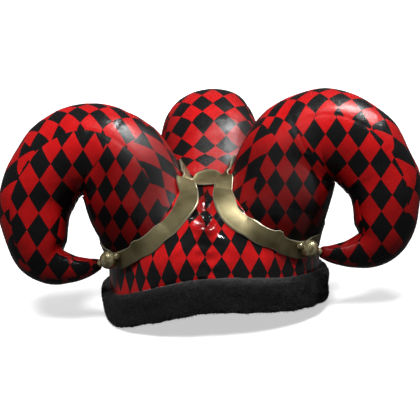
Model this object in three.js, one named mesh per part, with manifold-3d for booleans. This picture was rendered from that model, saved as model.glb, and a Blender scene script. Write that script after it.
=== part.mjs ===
// A jester hat with three stuffed horns, modelled in millimetres, +Z up.
// The shapes are set out about the crown's middle, on the surface that the hat stands on.
// +X is the wearer's left, -Y is the front. Cloth parts, trims and beads are separate solids.

import * as THREE from 'three';
import { mergeVertices } from 'three/addons/utils/BufferGeometryUtils.js';
import Module from 'manifold-3d';

const wasm = await Module();
wasm.setup();

// Gap between neighbouring pieces
const GAP = 0.3;

// Crown: a padded felt dome that the head goes into
const CROWN_HALF_WIDTH = 95;
const CROWN_HALF_DEPTH = 98;
const CROWN_HEIGHT = 121;
const CROWN_WALL = 3;
const CROWN_SEGMENTS = 48;

// Cuff: the plush band round the crown's lower edge
const CUFF_HEIGHT = 30;
const CUFF_THICKNESS = 8.5;
const CUFF_FRONT_LIFT = 23;
const CUFF_TUCK = 3;

// Horns: padded cloth, stuffed solid
const HORN_REACH = 154;
const HORN_RISE = 151;
const HORN_HALF = 48;
const HORN_TIP_HALF = 5.2;
const HORN_SIDES = 22;
const HORN_RINGS = 27;
const HORN_SWING = 44;

// Tip of a horn: the shares of the last bend at which its thickness is set, the power that thins
// it there, and the end face's size as a share of the last section's
const TIP_BENDS = [0.42, 0.75];
const TIP_THINNING = 0.9;
const TIP_BLUNTNESS = 0.62;

// Metallic trims round the horns' roots
const TRIM_WIDTH = 14.5;
const TRIM_THICKNESS = 1.6;
const TRIM_LIFT = 0.75;
const TRIM_STEPS = 42;

// Beads on the horns' tips
const BELL_RADIUS = 7.8;
const COLLAR_RADIUS = 3;
const KNOB_RADIUS = 2.7;
const BELL_SIDES = 16;
const BEAD_SIDES = 10;
const BELL_SIDE_ANGLE = 35.5;
const BELL_HEIGHT = 65;
const BELL_CLEARANCE = 2.25;

// Rows of a horn's table that its bell stays clear of, and the moves that clear them
const BELL_ROOT_ROWS = 5;
const BELL_MOVES = 8;

// Directions from a horn's tip through its beads: towards the horn's side, back and up
const SIDE_BEAD_RUN = { side: -0.74, back: -0.56, up: 0.38 };
const BACK_BEAD_RUN = { side: 0, back: -0.08, up: 1 };

// Crown sections from the lower edge to the top: height, width and depth as shares of the crown's
const CROWN_SECTIONS = [
  { up: 0.00, wide: 0.975, deep: 0.975 },
  { up: 0.22, wide: 0.995, deep: 0.995 },
  { up: 0.40, wide: 1.000, deep: 1.000 },
  { up: 0.54, wide: 0.980, deep: 0.990 },
  { up: 0.66, wide: 0.900, deep: 0.945 },
  { up: 0.77, wide: 0.780, deep: 0.870 },
  { up: 0.86, wide: 0.640, deep: 0.765 },
  { up: 0.93, wide: 0.480, deep: 0.610 },
  { up: 0.98, wide: 0.250, deep: 0.380 },
];

// Heights of the crown's facet rings above its lower edge, as shares of the crown's height
const CROWN_RING_SHARES = [0, 0.26, 0.40, 0.50, 0.58, 0.66, 0.74, 0.81, 0.87, 0.92, 0.96, 0.98];

// Cuff profile from its lower edge to its upper one: height and thickness as shares of the cuff's
const CUFF_PROFILE = [
  { up: 0.00, thick: 0.62 },
  { up: 0.10, thick: 0.92 },
  { up: 0.35, thick: 1.00 },
  { up: 0.70, thick: 1.00 },
  { up: 0.92, thick: 0.90 },
  { up: 1.00, thick: 0.55 },
];

// Lift of the cuff's lower edge round the crown, as shares of the front lift.
// The angle runs from the wearer's left, 0, through the back, 90, to the front, 270.
const CUFF_LIFTS = [
  { angle: 0, lift: 0.12 },
  { angle: 30, lift: 0.00 },
  { angle: 90, lift: 0.00 },
  { angle: 150, lift: 0.00 },
  { angle: 195, lift: 0.00 },
  { angle: 212, lift: 0.03 },
  { angle: 235, lift: 0.50 },
  { angle: 262, lift: 0.98 },
  { angle: 285, lift: 0.96 },
  { angle: 312, lift: 0.62 },
  { angle: 338, lift: 0.36 },
];

// Horn centreline and thickness, from the root inside the crown to the last bend.
// out is a share of the reach, up of the rise, swing of the forward swing,
// thin and deep are shares of the half thickness, in the curl's plane and across it.
const SIDE_HORN = [
  { out: 0.195, up: 0.40, swing: 0.00, thin: 0.83, deep: 1.40 },
  { out: 0.325, up: 0.56, swing: 0.05, thin: 0.98, deep: 1.58 },
  { out: 0.405, up: 0.70, swing: 0.05, thin: 0.99, deep: 1.42 },
  { out: 0.510, up: 0.91, swing: 0.00, thin: 0.92, deep: 1.10 },
  { out: 0.672, up: 1.01, swing: 0.00, thin: 0.85, deep: 0.92 },
  { out: 0.860, up: 0.94, swing: 0.10, thin: 0.78, deep: 0.81 },
  { out: 0.990, up: 0.74, swing: 0.32, thin: 0.70, deep: 0.71 },
  { out: 1.000, up: 0.58, swing: 0.60, thin: 0.60, deep: 0.60 },
  { out: 0.960, up: 0.445, swing: 0.86, thin: 0.50, deep: 0.50 },
];
const BACK_HORN = [
  { out: 0.130, up: 0.40, swing: 0, thin: 0.90, deep: 1.20 },
  { out: 0.240, up: 0.56, swing: 0, thin: 1.05, deep: 1.30 },
  { out: 0.350, up: 0.70, swing: 0, thin: 1.04, deep: 1.16 },
  { out: 0.490, up: 0.88, swing: 0, thin: 0.94, deep: 1.03 },
  { out: 0.680, up: 0.98, swing: 0, thin: 0.85, deep: 0.93 },
  { out: 0.880, up: 0.92, swing: 0, thin: 0.77, deep: 0.82 },
  { out: 1.010, up: 0.73, swing: 0, thin: 0.69, deep: 0.71 },
  { out: 1.040, up: 0.56, swing: 0, thin: 0.575, deep: 0.585 },
  { out: 1.010, up: 0.415, swing: 0, thin: 0.45, deep: 0.455 },
];

// Course of a trim round a horn's root: shares of the crown's half width, half depth and height.
// side runs towards the horn, ahead towards the front, and wide is a share of the trim's width.
const SIDE_TRIM = [
  { side: 0.240, ahead: 0.13, up: 1.03, wide: 1.00 },
  { side: 0.205, ahead: 0.28, up: 0.98, wide: 1.30 },
  { side: 0.165, ahead: 0.51, up: 0.93, wide: 1.35 },
  { side: 0.190, ahead: 0.70, up: 0.88, wide: 1.25 },
  { side: 0.270, ahead: 0.79, up: 0.80, wide: 1.10 },
  { side: 0.500, ahead: 0.79, up: 0.67, wide: 1.00 },
  { side: 0.750, ahead: 0.66, up: 0.56, wide: 1.00 },
  { side: 0.900, ahead: 0.44, up: 0.51, wide: 1.00 },
  { side: 1.000, ahead: 0.10, up: 0.54, wide: 1.00 },
  { side: 0.985, ahead: -0.22, up: 0.57, wide: 1.00 },
  { side: 0.830, ahead: -0.56, up: 0.60, wide: 1.00 },
  { side: 0.590, ahead: -0.78, up: 0.66, wide: 1.00 },
  { side: 0.480, ahead: -0.45, up: 0.90, wide: 0.90 },
  { side: 0.330, ahead: -0.10, up: 1.03, wide: 0.90 },
];
const BACK_TRIM = [
  { side: -0.230, ahead: 0.00, up: 0.97, wide: 1.50 },
  { side: -0.120, ahead: 0.13, up: 1.01, wide: 1.30 },
  { side: 0.200, ahead: 0.31, up: 0.98, wide: 0.90 },
  { side: 0.520, ahead: 0.50, up: 0.76, wide: 1.00 },
  { side: 0.780, ahead: 0.52, up: 0.62, wide: 1.00 },
  { side: 0.960, ahead: 0.26, up: 0.56, wide: 1.00 },
  { side: 1.000, ahead: 0.00, up: 0.54, wide: 1.00 },
];

// Upright planes that keep the trims apart: where they cross ahead of the crown's middle, as a
// share of its half depth, and how far back each runs for its distance outwards
const TRIM_MEETING = { ahead: 0.4286, slope: 2.2 };

const FAR = 4 * HORN_REACH;
const degrees = (value) => value * Math.PI / 180;
const vec = (x, y, z) => new THREE.Vector3(x, y, z);

// Smooth value of a table's column at a position along another column
function along(rows, key, column, at) {
  let i = 0;
  while (i < rows.length - 2 && rows[i + 1][key] < at) i += 1;
  const span = rows[i + 1][key] - rows[i][key];
  const t = THREE.MathUtils.clamp((at - rows[i][key]) / span, 0, 1);
  const before = rows[Math.max(i - 1, 0)];
  const after = rows[Math.min(i + 2, rows.length - 1)];
  const slopeIn = (rows[i + 1][column] - before[column]) / (rows[i + 1][key] - before[key]) * span;
  const slopeOut = (after[column] - rows[i][column]) / (after[key] - rows[i][key]) * span;
  const t2 = t * t;
  const t3 = t2 * t;
  return (2 * t3 - 3 * t2 + 1) * rows[i][column] + (t3 - 2 * t2 + t) * slopeIn
    + (3 * t2 - 2 * t3) * rows[i + 1][column] + (t3 - t2) * slopeOut;
}

// Closed mesh from a grid of rings: the first and last ring are capped at their centres
function ringSolid(rings) {
  const sides = rings[0].length;
  const points = rings.flat();
  const faces = [];
  for (let r = 0; r < rings.length - 1; r += 1) {
    for (let s = 0; s < sides; s += 1) {
      const a = r * sides + s;
      const b = r * sides + (s + 1) % sides;
      faces.push(a, b, b + sides, a, b + sides, a + sides);
    }
  }
  const cap = (first, flip) => {
    const centre = new THREE.Vector3();
    for (let s = 0; s < sides; s += 1) centre.add(points[first + s]);
    points.push(centre.divideScalar(sides));
    for (let s = 0; s < sides; s += 1) {
      const next = first + (s + 1) % sides;
      faces.push(points.length - 1, flip ? next : first + s, flip ? first + s : next);
    }
  };
  cap(0, true);
  cap((rings.length - 1) * sides, false);
  return meshGeometry(points, faces);
}

// Closed ring-shaped mesh from sections that follow one another round a loop
function loopSolid(sections) {
  const corners = sections[0].length;
  const faces = [];
  for (let s = 0; s < sections.length; s += 1) {
    const next = (s + 1) % sections.length;
    for (let c = 0; c < corners; c += 1) {
      const d = (c + 1) % corners;
      faces.push(s * corners + c, next * corners + c, next * corners + d);
      faces.push(s * corners + c, next * corners + d, s * corners + d);
    }
  }
  return meshGeometry(sections.flat(), faces);
}

function meshGeometry(points, faces) {
  const geometry = new THREE.BufferGeometry();
  geometry.setAttribute('position', new THREE.Float32BufferAttribute(points.flatMap((p) => p.toArray()), 3));
  geometry.setIndex(faces);
  return geometry;
}

// A geometry as a manifold solid, turned right side out if its faces point inwards
function solid(geometry) {
  const bare = geometry.clone();
  bare.deleteAttribute('normal');
  bare.deleteAttribute('uv');
  const merged = mergeVertices(bare, 1e-4);
  const index = Array.from(merged.index.array);
  const position = merged.attributes.position;
  let volume = 0;
  for (let i = 0; i < index.length; i += 3) {
    const [a, b, c] = [0, 1, 2].map((k) => new THREE.Vector3().fromBufferAttribute(position, index[i + k]));
    volume += a.dot(b.cross(c));
  }
  if (volume < 0) index.reverse();
  return new wasm.Manifold(new wasm.Mesh({
    numProp: 3,
    vertProperties: new Float32Array(position.array),
    triVerts: new Uint32Array(index),
  }));
}

function geometryOf(body) {
  const mesh = body.getMesh();
  const geometry = new THREE.BufferGeometry();
  geometry.setAttribute('position', new THREE.Float32BufferAttribute(mesh.vertProperties, 3));
  geometry.setIndex(Array.from(mesh.triVerts));
  geometry.computeVertexNormals();
  return geometry;
}

// Height of the cuff's lower edge at an angle round the crown, in degrees
function cuffLift(angle) {
  const first = CUFF_LIFTS[0];
  const rows = [
    { angle: CUFF_LIFTS.at(-1).angle - 360, lift: CUFF_LIFTS.at(-1).lift },
    ...CUFF_LIFTS,
    { angle: first.angle + 360, lift: first.lift },
    { angle: CUFF_LIFTS[1].angle + 360, lift: CUFF_LIFTS[1].lift },
  ];
  return Math.max(0, along(rows, 'angle', 'lift', angle)) * CUFF_FRONT_LIFT;
}

// Point of the crown's outer surface at a height, moved out of the surface by a distance
function crownPoint(height, angle, grow) {
  const share = height / CROWN_HEIGHT;
  const wide = along(CROWN_SECTIONS, 'up', 'wide', share) * CROWN_HALF_WIDTH;
  const deep = along(CROWN_SECTIONS, 'up', 'deep', share) * CROWN_HALF_DEPTH;
  const step = 0.01;
  const slope = (along(CROWN_SECTIONS, 'up', 'wide', share + step)
    - along(CROWN_SECTIONS, 'up', 'wide', share - step)) / (2 * step) * CROWN_HALF_WIDTH / CROWN_HEIGHT;
  const lean = Math.hypot(1, slope);
  const out = grow / lean;
  return vec((wide + out) * Math.cos(angle), (deep + out) * Math.sin(angle), height - out * slope);
}

// Dome-shaped solid of the crown's outer form, grown by a distance, from a lower edge up
function crownForm(grow, foot) {
  const rings = [];
  for (let s = 0; s < CROWN_RING_SHARES.length; s += 1) {
    const ring = [];
    for (let c = 0; c < CROWN_SEGMENTS; c += 1) {
      const angle = c / CROWN_SEGMENTS * 2 * Math.PI;
      const low = foot(angle);
      const point = crownPoint(Math.max(CROWN_RING_SHARES[s] * CROWN_HEIGHT, low + s), angle, grow);
      if (s === 0) point.z = low;
      ring.push(point);
    }
    rings.push(ring);
  }
  const body = ringSolid(rings);
  body.attributes.position.setZ(body.attributes.position.count - 1, CROWN_HEIGHT + grow);
  return solid(body);
}

const cuffFoot = (angle) => cuffLift(angle / degrees(1)) + CUFF_TUCK;

function makeCrown() {
  const inside = crownForm(-CROWN_WALL, () => -CROWN_WALL);
  return crownForm(0, cuffFoot).subtract(inside);
}

function makeCuff() {
  const sections = [];
  for (let s = 0; s < CROWN_SEGMENTS; s += 1) {
    const angle = s / CROWN_SEGMENTS * 2 * Math.PI;
    const low = cuffLift(angle / degrees(1));
    const at = (row, grow) => {
      const height = low + row.up * CUFF_HEIGHT;
      const point = crownPoint(height, angle, grow);
      point.z = height;
      return point;
    };
    const outer = CUFF_PROFILE.map((row) => at(row, GAP + row.thick * CUFF_THICKNESS));
    const inner = CUFF_PROFILE.map((row) => at(row, 1.5 * GAP)).reverse();
    sections.push([...outer, ...inner]);
  }
  return solid(loopSolid(sections));
}

// Direction from the horn's tip through its beads
function beadDirection(side) {
  const run = side === 0 ? BACK_BEAD_RUN : SIDE_BEAD_RUN;
  return vec(side * run.side, run.back, run.up).normalize();
}

const collarStep = BELL_RADIUS + COLLAR_RADIUS + GAP;
const knobStep = BELL_RADIUS + KNOB_RADIUS + GAP;
const tipStep = collarStep + COLLAR_RADIUS + GAP;

// Centreline points of a horn with their half thicknesses, from its root to its last bend
function bodyStations(side) {
  const table = side === 0 ? BACK_HORN : SIDE_HORN;
  return table.map((row) => {
    const out = row.out * HORN_REACH;
    const centre = side === 0 ? vec(0, out, 0) : vec(side * out, -row.swing * HORN_SWING, 0);
    centre.z = row.up * HORN_RISE;
    return { centre, thin: row.thin * HORN_HALF, deep: row.deep * HORN_HALF };
  });
}

// Rings of a sweep through stations, grown by a distance
function sweepRings(stations, side, grow) {
  const line = new THREE.CatmullRomCurve3(stations.map((s) => s.centre), false, 'centripetal');
  const thin = stations.map((s, i) => ({ at: i, value: s.thin }));
  const deep = stations.map((s, i) => ({ at: i, value: s.deep }));
  const across = side === 0 ? vec(1, 0, 0) : vec(0, 1, 0);
  const rings = [];
  for (let r = 0; r <= HORN_RINGS; r += 1) {
    const t = r / HORN_RINGS;
    const centre = line.getPoint(t);
    const tangent = line.getTangent(t);
    const b = across.clone().addScaledVector(tangent, -across.dot(tangent)).normalize();
    const n = tangent.clone().cross(b);
    const at = t * (stations.length - 1);
    const halfThin = along(thin, 'at', 'value', at) + grow;
    const halfDeep = along(deep, 'at', 'value', at) + grow;
    rings.push(Array.from({ length: HORN_SIDES }, (_, s) => {
      const angle = s / HORN_SIDES * 2 * Math.PI;
      return centre.clone().addScaledVector(n, halfThin * Math.cos(angle))
        .addScaledVector(b, halfDeep * Math.sin(angle));
    }));
  }
  return rings;
}

// Nearest place on a body's surface to a point, with the surface's normal there
function surfaceFinder(body) {
  const { vertProperties, triVerts } = body.getMesh();
  const corner = (index) => vec(...vertProperties.slice(3 * index, 3 * index + 3));
  const triangles = [];
  for (let i = 0; i < triVerts.length; i += 3) {
    triangles.push(new THREE.Triangle(corner(triVerts[i]), corner(triVerts[i + 1]), corner(triVerts[i + 2])));
  }
  return (target) => {
    let best = null;
    for (const triangle of triangles) {
      const point = triangle.closestPointToPoint(target, new THREE.Vector3());
      const distance = point.distanceToSquared(target);
      if (best === null || distance < best.distance) best = { point, distance, triangle };
    }
    return { point: best.point, normal: best.triangle.getNormal(new THREE.Vector3()) };
  };
}

// Place of the bell on a horn: beside the trim that lies on the crown and on the horn's root.
// It moves out from the crown's wall until it clears both. side is -1 or 1 for the side horns
// and 0 for the back one.
function bellPlace(side) {
  const angle = side === 0 ? degrees(90) : degrees(-BELL_SIDE_ANGLE);
  const room = BELL_RADIUS + TRIM_LIFT + TRIM_THICKNESS + BELL_CLEARANCE;
  const point = crownPoint(BELL_HEIGHT, angle, room);
  point.z = BELL_HEIGHT;
  const outward = vec(Math.cos(angle), Math.sin(angle), 0);
  const root = solid(ringSolid(sweepRings(bodyStations(side === 0 ? 0 : 1).slice(0, BELL_ROOT_ROWS), side, 0)));
  const nearest = surfaceFinder(root.add(crownForm(0, () => -CROWN_WALL)));
  for (let move = 0; move < BELL_MOVES; move += 1) {
    const short = room - nearest(point).point.distanceTo(point);
    if (short > 0) point.addScaledVector(outward, short);
  }
  if (side < 0) point.x = -point.x;
  return point;
}

const bellPlaces = new Map([-1, 0, 1].map((side) => [side, bellPlace(side)]));

// Centreline points of a whole horn: its body's, its last bend's and its tip's
function hornStations(side) {
  const stations = bodyStations(side);
  const towards = beadDirection(side);
  const tip = bellPlaces.get(side).clone().addScaledVector(towards, -tipStep);
  const last = stations.at(-1);
  const bend = tip.clone().addScaledVector(towards, -0.5 * last.centre.distanceTo(tip));
  for (const share of TIP_BENDS) {
    const centre = last.centre.clone().multiplyScalar((1 - share) ** 2)
      .addScaledVector(bend, 2 * share * (1 - share))
      .addScaledVector(tip, share ** 2);
    const half = THREE.MathUtils.lerp(last.thin, HORN_TIP_HALF, share ** TIP_THINNING);
    stations.push({ centre, thin: half, deep: half });
  }
  stations.push({ centre: tip, thin: HORN_TIP_HALF, deep: HORN_TIP_HALF });
  return stations;
}

// Sweep of a horn from its root to its tip, grown by a distance
function hornForm(side, grow) {
  const stations = hornStations(side);
  const rings = sweepRings(stations, side, grow);
  const tip = stations.at(-1).centre;
  const reach = beadDirection(side);
  rings.push(rings.at(-1).map((p) => tip.clone().lerp(p, TIP_BLUNTNESS).addScaledVector(reach, 0.45 * GAP)));
  return solid(ringSolid(rings));
}

// Upright slab of space from an outline in plan, far above and below the hat
function uprightSpace(outline) {
  const shape = new THREE.Shape(outline.map(([x, y]) => new THREE.Vector2(x, y)));
  return solid(new THREE.ExtrudeGeometry(shape, { depth: 2 * FAR, bevelEnabled: false }).translate(0, 0, -FAR));
}

// A horn's own form, grown by a distance. Side horns stay on their own side of the middle.
function hornBody(side, grow) {
  if (side === 0) return hornForm(0, grow);
  const edge = side * (GAP / 2 - grow);
  const half = uprightSpace([[edge, -FAR], [side * FAR, -FAR], [side * FAR, FAR], [edge, FAR]]);
  return hornForm(side, grow).intersect(half);
}

function makeHorn(side) {
  const horn = hornBody(side, 0).subtract(crownForm(GAP, () => -CROWN_WALL));
  return side === 0 ? horn : horn.subtract(hornForm(0, GAP));
}

// Everything of cloth, grown by a distance
function clothForm(grow) {
  return [-1, 0, 1].reduce((sum, side) => sum.add(hornBody(side, grow)), crownForm(grow, () => -CROWN_WALL));
}

// Closed course of a trim, as points near the surface that it lies on, with its width there
function trimCourse(side) {
  const place = (row, mirror) => {
    const point = side === 0
      ? vec(mirror * row.ahead * CROWN_HALF_WIDTH, row.side * CROWN_HALF_DEPTH, 0)
      : vec(side * row.side * CROWN_HALF_WIDTH, -row.ahead * CROWN_HALF_DEPTH, 0);
    point.z = row.up * CROWN_HEIGHT;
    return { point, width: row.wide * TRIM_WIDTH };
  };
  if (side !== 0) return SIDE_TRIM.map((row) => place(row, 1));
  const there = BACK_TRIM.map((row) => place(row, 1));
  const back = BACK_TRIM.slice(1, -1).reverse().map((row) => place(row, -1));
  return [...there, ...back];
}

// Upright wedge that a trim stays in, so that neighbouring trims keep a gap
function trimSpace(side) {
  const slant = GAP / 2 * Math.hypot(1, TRIM_MEETING.slope);
  const run = FAR * TRIM_MEETING.slope;
  const front = -TRIM_MEETING.ahead * CROWN_HALF_DEPTH;
  if (side === 0) return uprightSpace([[0, front + slant], [FAR, front + run + slant], [-FAR, front + run + slant]]);
  const edge = side * GAP / 2;
  const corner = front + GAP / 2 * TRIM_MEETING.slope - slant;
  return uprightSpace([[edge, -FAR], [side * FAR, -FAR], [side * FAR, front + run - slant], [edge, corner]]);
}

// Flat ribbon laid on the surface round a horn's root, clear of the cloth: its largest parts
function makeTrim(side, parts) {
  const nearest = surfaceFinder(hornBody(side, 0).add(crownForm(0, () => -CROWN_WALL)));
  const course = trimCourse(side);
  const line = new THREE.CatmullRomCurve3(course.map((row) => row.point), true, 'centripetal');
  const widths = [...course, course[0]].map((row, i) => ({ at: i, width: row.width }));
  const wrap = (index) => (index + TRIM_STEPS) % TRIM_STEPS;
  const places = Array.from({ length: TRIM_STEPS }, (_, s) => nearest(line.getPoint(s / TRIM_STEPS)));
  const sections = places.map(({ point }, s) => {
    const run = places[wrap(s + 1)].point.clone().sub(places[wrap(s - 1)].point).normalize();
    const out = vec(0, 0, 0);
    for (const step of [-1, 0, 1]) out.add(places[wrap(s + step)].normal);
    const over = run.clone().cross(out.normalize()).normalize();
    const width = along(widths, 'at', 'width', s / TRIM_STEPS * course.length);
    const edges = [-0.5, 0, 0.5].map((share) => nearest(point.clone().addScaledVector(over, share * width)).point);
    const top = edges.map((p) => p.clone().addScaledVector(out, TRIM_LIFT + TRIM_THICKNESS));
    const low = edges.map((p) => p.clone().addScaledVector(out, TRIM_LIFT)).reverse();
    return [...top, ...low];
  });
  const ribbon = solid(loopSolid(sections)).intersect(trimSpace(side)).subtract(clothForm(GAP));
  return ribbon.decompose().sort((p, q) => q.volume() - p.volume()).slice(0, parts);
}

function bead(radius, sides, centre) {
  const ball = new THREE.SphereGeometry(radius, sides, Math.ceil(sides / 2));
  return solid(ball.translate(centre.x, centre.y, centre.z));
}

const felt = new THREE.MeshStandardMaterial({ color: 0x8e1114, roughness: 0.55, metalness: 0 });
const plush = new THREE.MeshStandardMaterial({ color: 0x111111, roughness: 0.95, metalness: 0 });
const brass = new THREE.MeshStandardMaterial({ color: 0x9a8b57, roughness: 0.3, metalness: 1 });

const hat = new THREE.Group();
function addPiece(name, body, material) {
  const mesh = new THREE.Mesh(geometryOf(body), material);
  mesh.name = name;
  hat.add(mesh);
}

addPiece('crown', makeCrown(), felt);
addPiece('cuff', makeCuff(), plush);
for (const [place, side] of [['right', -1], ['left', 1], ['back', 0]]) {
  addPiece(`horn_${place}`, makeHorn(side), felt);
  const bell = bellPlaces.get(side);
  const towards = beadDirection(side);
  const collar = bell.clone().addScaledVector(towards, -collarStep);
  const knob = bell.clone().addScaledVector(towards, knobStep);
  addPiece(`bell_${place}`, bead(BELL_RADIUS, BELL_SIDES, bell), brass);
  addPiece(`collar_${place}`, bead(COLLAR_RADIUS, BEAD_SIDES, collar), brass);
  addPiece(`knob_${place}`, bead(KNOB_RADIUS, BEAD_SIDES, knob), brass);
}

const [trimRight] = makeTrim(-1, 1);
const [trimLeft] = makeTrim(1, 1);
const [trimBack, trimFront] = makeTrim(0, 2);
addPiece('trim_right', trimRight, brass);
addPiece('trim_left', trimLeft, brass);
addPiece('trim_back', trimBack, brass);
addPiece('trim_front', trimFront, brass);

// The origin goes below the middle of the whole hat
const box = new THREE.Box3().setFromObject(hat);
const middle = box.getCenter(new THREE.Vector3());
for (const piece of hat.children) piece.geometry.translate(-middle.x, -middle.y, -box.min.z);

export default hat;
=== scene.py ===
"""Looks of a jester hat: sewn harlequin cloth, plush cuff, metallic trims and beads.

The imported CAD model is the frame. Every cloth surface is made here as a smooth numpy grid from
the same tables as the CAD, in millimetres about the crown's middle, and moved into the frame.
"""

from __future__ import annotations

import logging
import math
from collections.abc import Callable
from dataclasses import dataclass
from enum import Enum

import bpy
import numpy as np
from mathutils import Matrix, Vector
from mathutils.bvhtree import BVHTree

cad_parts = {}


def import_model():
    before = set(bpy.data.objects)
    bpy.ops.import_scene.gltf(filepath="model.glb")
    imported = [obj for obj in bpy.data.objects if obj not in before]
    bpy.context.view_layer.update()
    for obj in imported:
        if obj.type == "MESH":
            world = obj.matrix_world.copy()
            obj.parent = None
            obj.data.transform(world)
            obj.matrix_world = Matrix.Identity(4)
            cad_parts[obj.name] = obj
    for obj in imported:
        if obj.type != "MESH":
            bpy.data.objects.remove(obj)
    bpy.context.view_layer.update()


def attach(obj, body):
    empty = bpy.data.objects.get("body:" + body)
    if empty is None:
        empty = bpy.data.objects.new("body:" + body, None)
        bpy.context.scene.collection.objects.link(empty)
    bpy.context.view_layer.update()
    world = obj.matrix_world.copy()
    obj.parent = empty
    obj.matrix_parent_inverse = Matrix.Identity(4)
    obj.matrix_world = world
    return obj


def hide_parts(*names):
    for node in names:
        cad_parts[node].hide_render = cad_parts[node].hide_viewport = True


LOG = logging.getLogger("hat")
MM = 0.001
SEED = 20
FULL_TURN = 2 * math.pi

Array = np.ndarray


# Sizes, in millimetres


@dataclass(frozen=True)
class CrownSize:
    """The crown, a padded dome."""

    half_width: float = 95.0
    half_depth: float = 98.0
    height: float = 121.0
    wall: float = 3.0
    axis_back: float = -41.234


@dataclass(frozen=True)
class CuffSize:
    """The plush band round the crown's lower edge."""

    height: float = 30.0
    thickness: float = 8.5
    front_lift: float = 23.0
    tuck: float = 3.0


@dataclass(frozen=True)
class HornSize:
    """The stuffed horns."""

    reach: float = 154.0
    rise: float = 151.0
    half: float = 48.0
    tip_half: float = 5.2
    swing: float = 44.0


@dataclass(frozen=True)
class TrimSize:
    """The metallic trims round the horns' roots."""

    width: float = 14.5
    thickness: float = 1.1
    lift: float = 1.0
    edge_rise: float = 0.3
    edge_width: float = 0.7


@dataclass(frozen=True)
class BeadSize:
    """The beads on the horns' tips."""

    bell: float = 7.8
    collar: float = 3.0
    knob: float = 2.7
    gap: float = 0.3
    side_angle: float = 35.5
    height: float = 65.0
    off_wall: float = 4.6


CROWN = CrownSize()
CUFF = CuffSize()
HORN = HornSize()
TRIM = TrimSize()
BEAD = BeadSize()

# Crown sections: height, width and depth as shares of the crown's
CROWN_SECTIONS = np.array(
    [
        (0.00, 0.975, 0.975),
        (0.22, 0.995, 0.995),
        (0.40, 1.000, 1.000),
        (0.54, 0.980, 0.990),
        (0.66, 0.900, 0.945),
        (0.77, 0.780, 0.870),
        (0.86, 0.640, 0.765),
        (0.93, 0.480, 0.610),
        (0.98, 0.250, 0.380),
        (1.00, 0.000, 0.000),
    ]
)

# Cuff profile: height and thickness as shares of the cuff's
CUFF_PROFILE = np.array([(0.0, 0.62), (0.1, 0.92), (0.35, 1.0), (0.7, 1.0), (0.92, 0.9), (1.0, 0.55)])

# Lift of the cuff's lower edge: angle in degrees, and share of the front lift
CUFF_LIFTS = np.array(
    [
        (-75, 0.96),
        (-48, 0.62),
        (-22, 0.36),
        (0, 0.12),
        (30, 0.0),
        (90, 0.0),
        (150, 0.0),
        (195, 0.0),
        (212, 0.03),
        (235, 0.5),
        (262, 0.98),
        (285, 0.96),
        (312, 0.62),
        (338, 0.36),
        (360, 0.12),
        (390, 0.0),
    ]
)

# Horn centreline: out, up, swing, and half thickness in the curl's plane and across it
SIDE_HORN = np.array(
    [
        (0.195, 0.40, 0.00, 0.83, 1.40),
        (0.325, 0.56, 0.05, 0.98, 1.58),
        (0.405, 0.70, 0.05, 0.99, 1.42),
        (0.510, 0.91, 0.00, 0.92, 1.10),
        (0.672, 1.01, 0.00, 0.85, 0.92),
        (0.860, 0.94, 0.10, 0.78, 0.81),
        (0.990, 0.74, 0.32, 0.70, 0.71),
        (1.000, 0.58, 0.60, 0.60, 0.60),
        (0.960, 0.445, 0.86, 0.50, 0.50),
    ]
)
BACK_HORN = np.array(
    [
        (0.130, 0.40, 0.0, 0.900, 1.200),
        (0.240, 0.56, 0.0, 1.050, 1.300),
        (0.350, 0.70, 0.0, 1.040, 1.160),
        (0.490, 0.88, 0.0, 0.940, 1.030),
        (0.680, 0.98, 0.0, 0.850, 0.930),
        (0.880, 0.92, 0.0, 0.770, 0.820),
        (1.010, 0.73, 0.0, 0.690, 0.710),
        (1.040, 0.56, 0.0, 0.575, 0.585),
        (1.010, 0.415, 0.0, 0.450, 0.455),
    ]
)

# Course of a trim: side, ahead, up, and width share
SIDE_TRIM = np.array(
    [
        (0.215, 0.13, 1.03, 0.90),
        (0.175, 0.28, 0.98, 1.05),
        (0.150, 0.51, 0.93, 1.18),
        (0.184, 0.70, 0.88, 1.32),
        (0.274, 0.79, 0.80, 1.30),
        (0.500, 0.79, 0.67, 1.08),
        (0.750, 0.66, 0.56, 1.00),
        (0.900, 0.44, 0.51, 1.00),
        (1.000, 0.10, 0.54, 1.00),
        (0.985, -0.22, 0.57, 1.00),
        (0.830, -0.56, 0.60, 1.00),
        (0.590, -0.78, 0.66, 1.00),
        (0.480, -0.45, 0.90, 0.90),
        (0.330, -0.10, 1.03, 0.90),
    ]
)
BACK_TRIM = np.array(
    [
        (-0.230, 0.00, 0.97, 1.50),
        (-0.120, 0.13, 1.01, 1.30),
        (0.200, 0.31, 0.98, 0.90),
        (0.520, 0.50, 0.76, 1.00),
        (0.780, 0.52, 0.62, 1.00),
        (0.960, 0.26, 0.56, 1.00),
        (1.000, 0.00, 0.54, 1.00),
    ]
)


# Upper and lower edge of the tape between the side trims: along X, then Y and Z of each edge
FRONT_TAPE = np.array(
    [
        (-15.5, -27.0, 122.6, -31.5, 121.4),
        (-12.3, -24.8, 123.8, -31.5, 122.3),
        (-9.2, -16.0, 126.6, -34.5, 121.8),
        (-4.9, -11.6, 128.0, -37.6, 121.4),
        (1.6, -9.4, 128.7, -38.8, 121.2),
        (8.4, -11.6, 127.8, -37.6, 121.3),
        (12.8, -16.0, 125.6, -34.5, 121.5),
        (16.5, -24.8, 123.4, -30.5, 122.0),
        (19.5, -27.0, 122.2, -30.5, 121.2),
    ]
)


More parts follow.
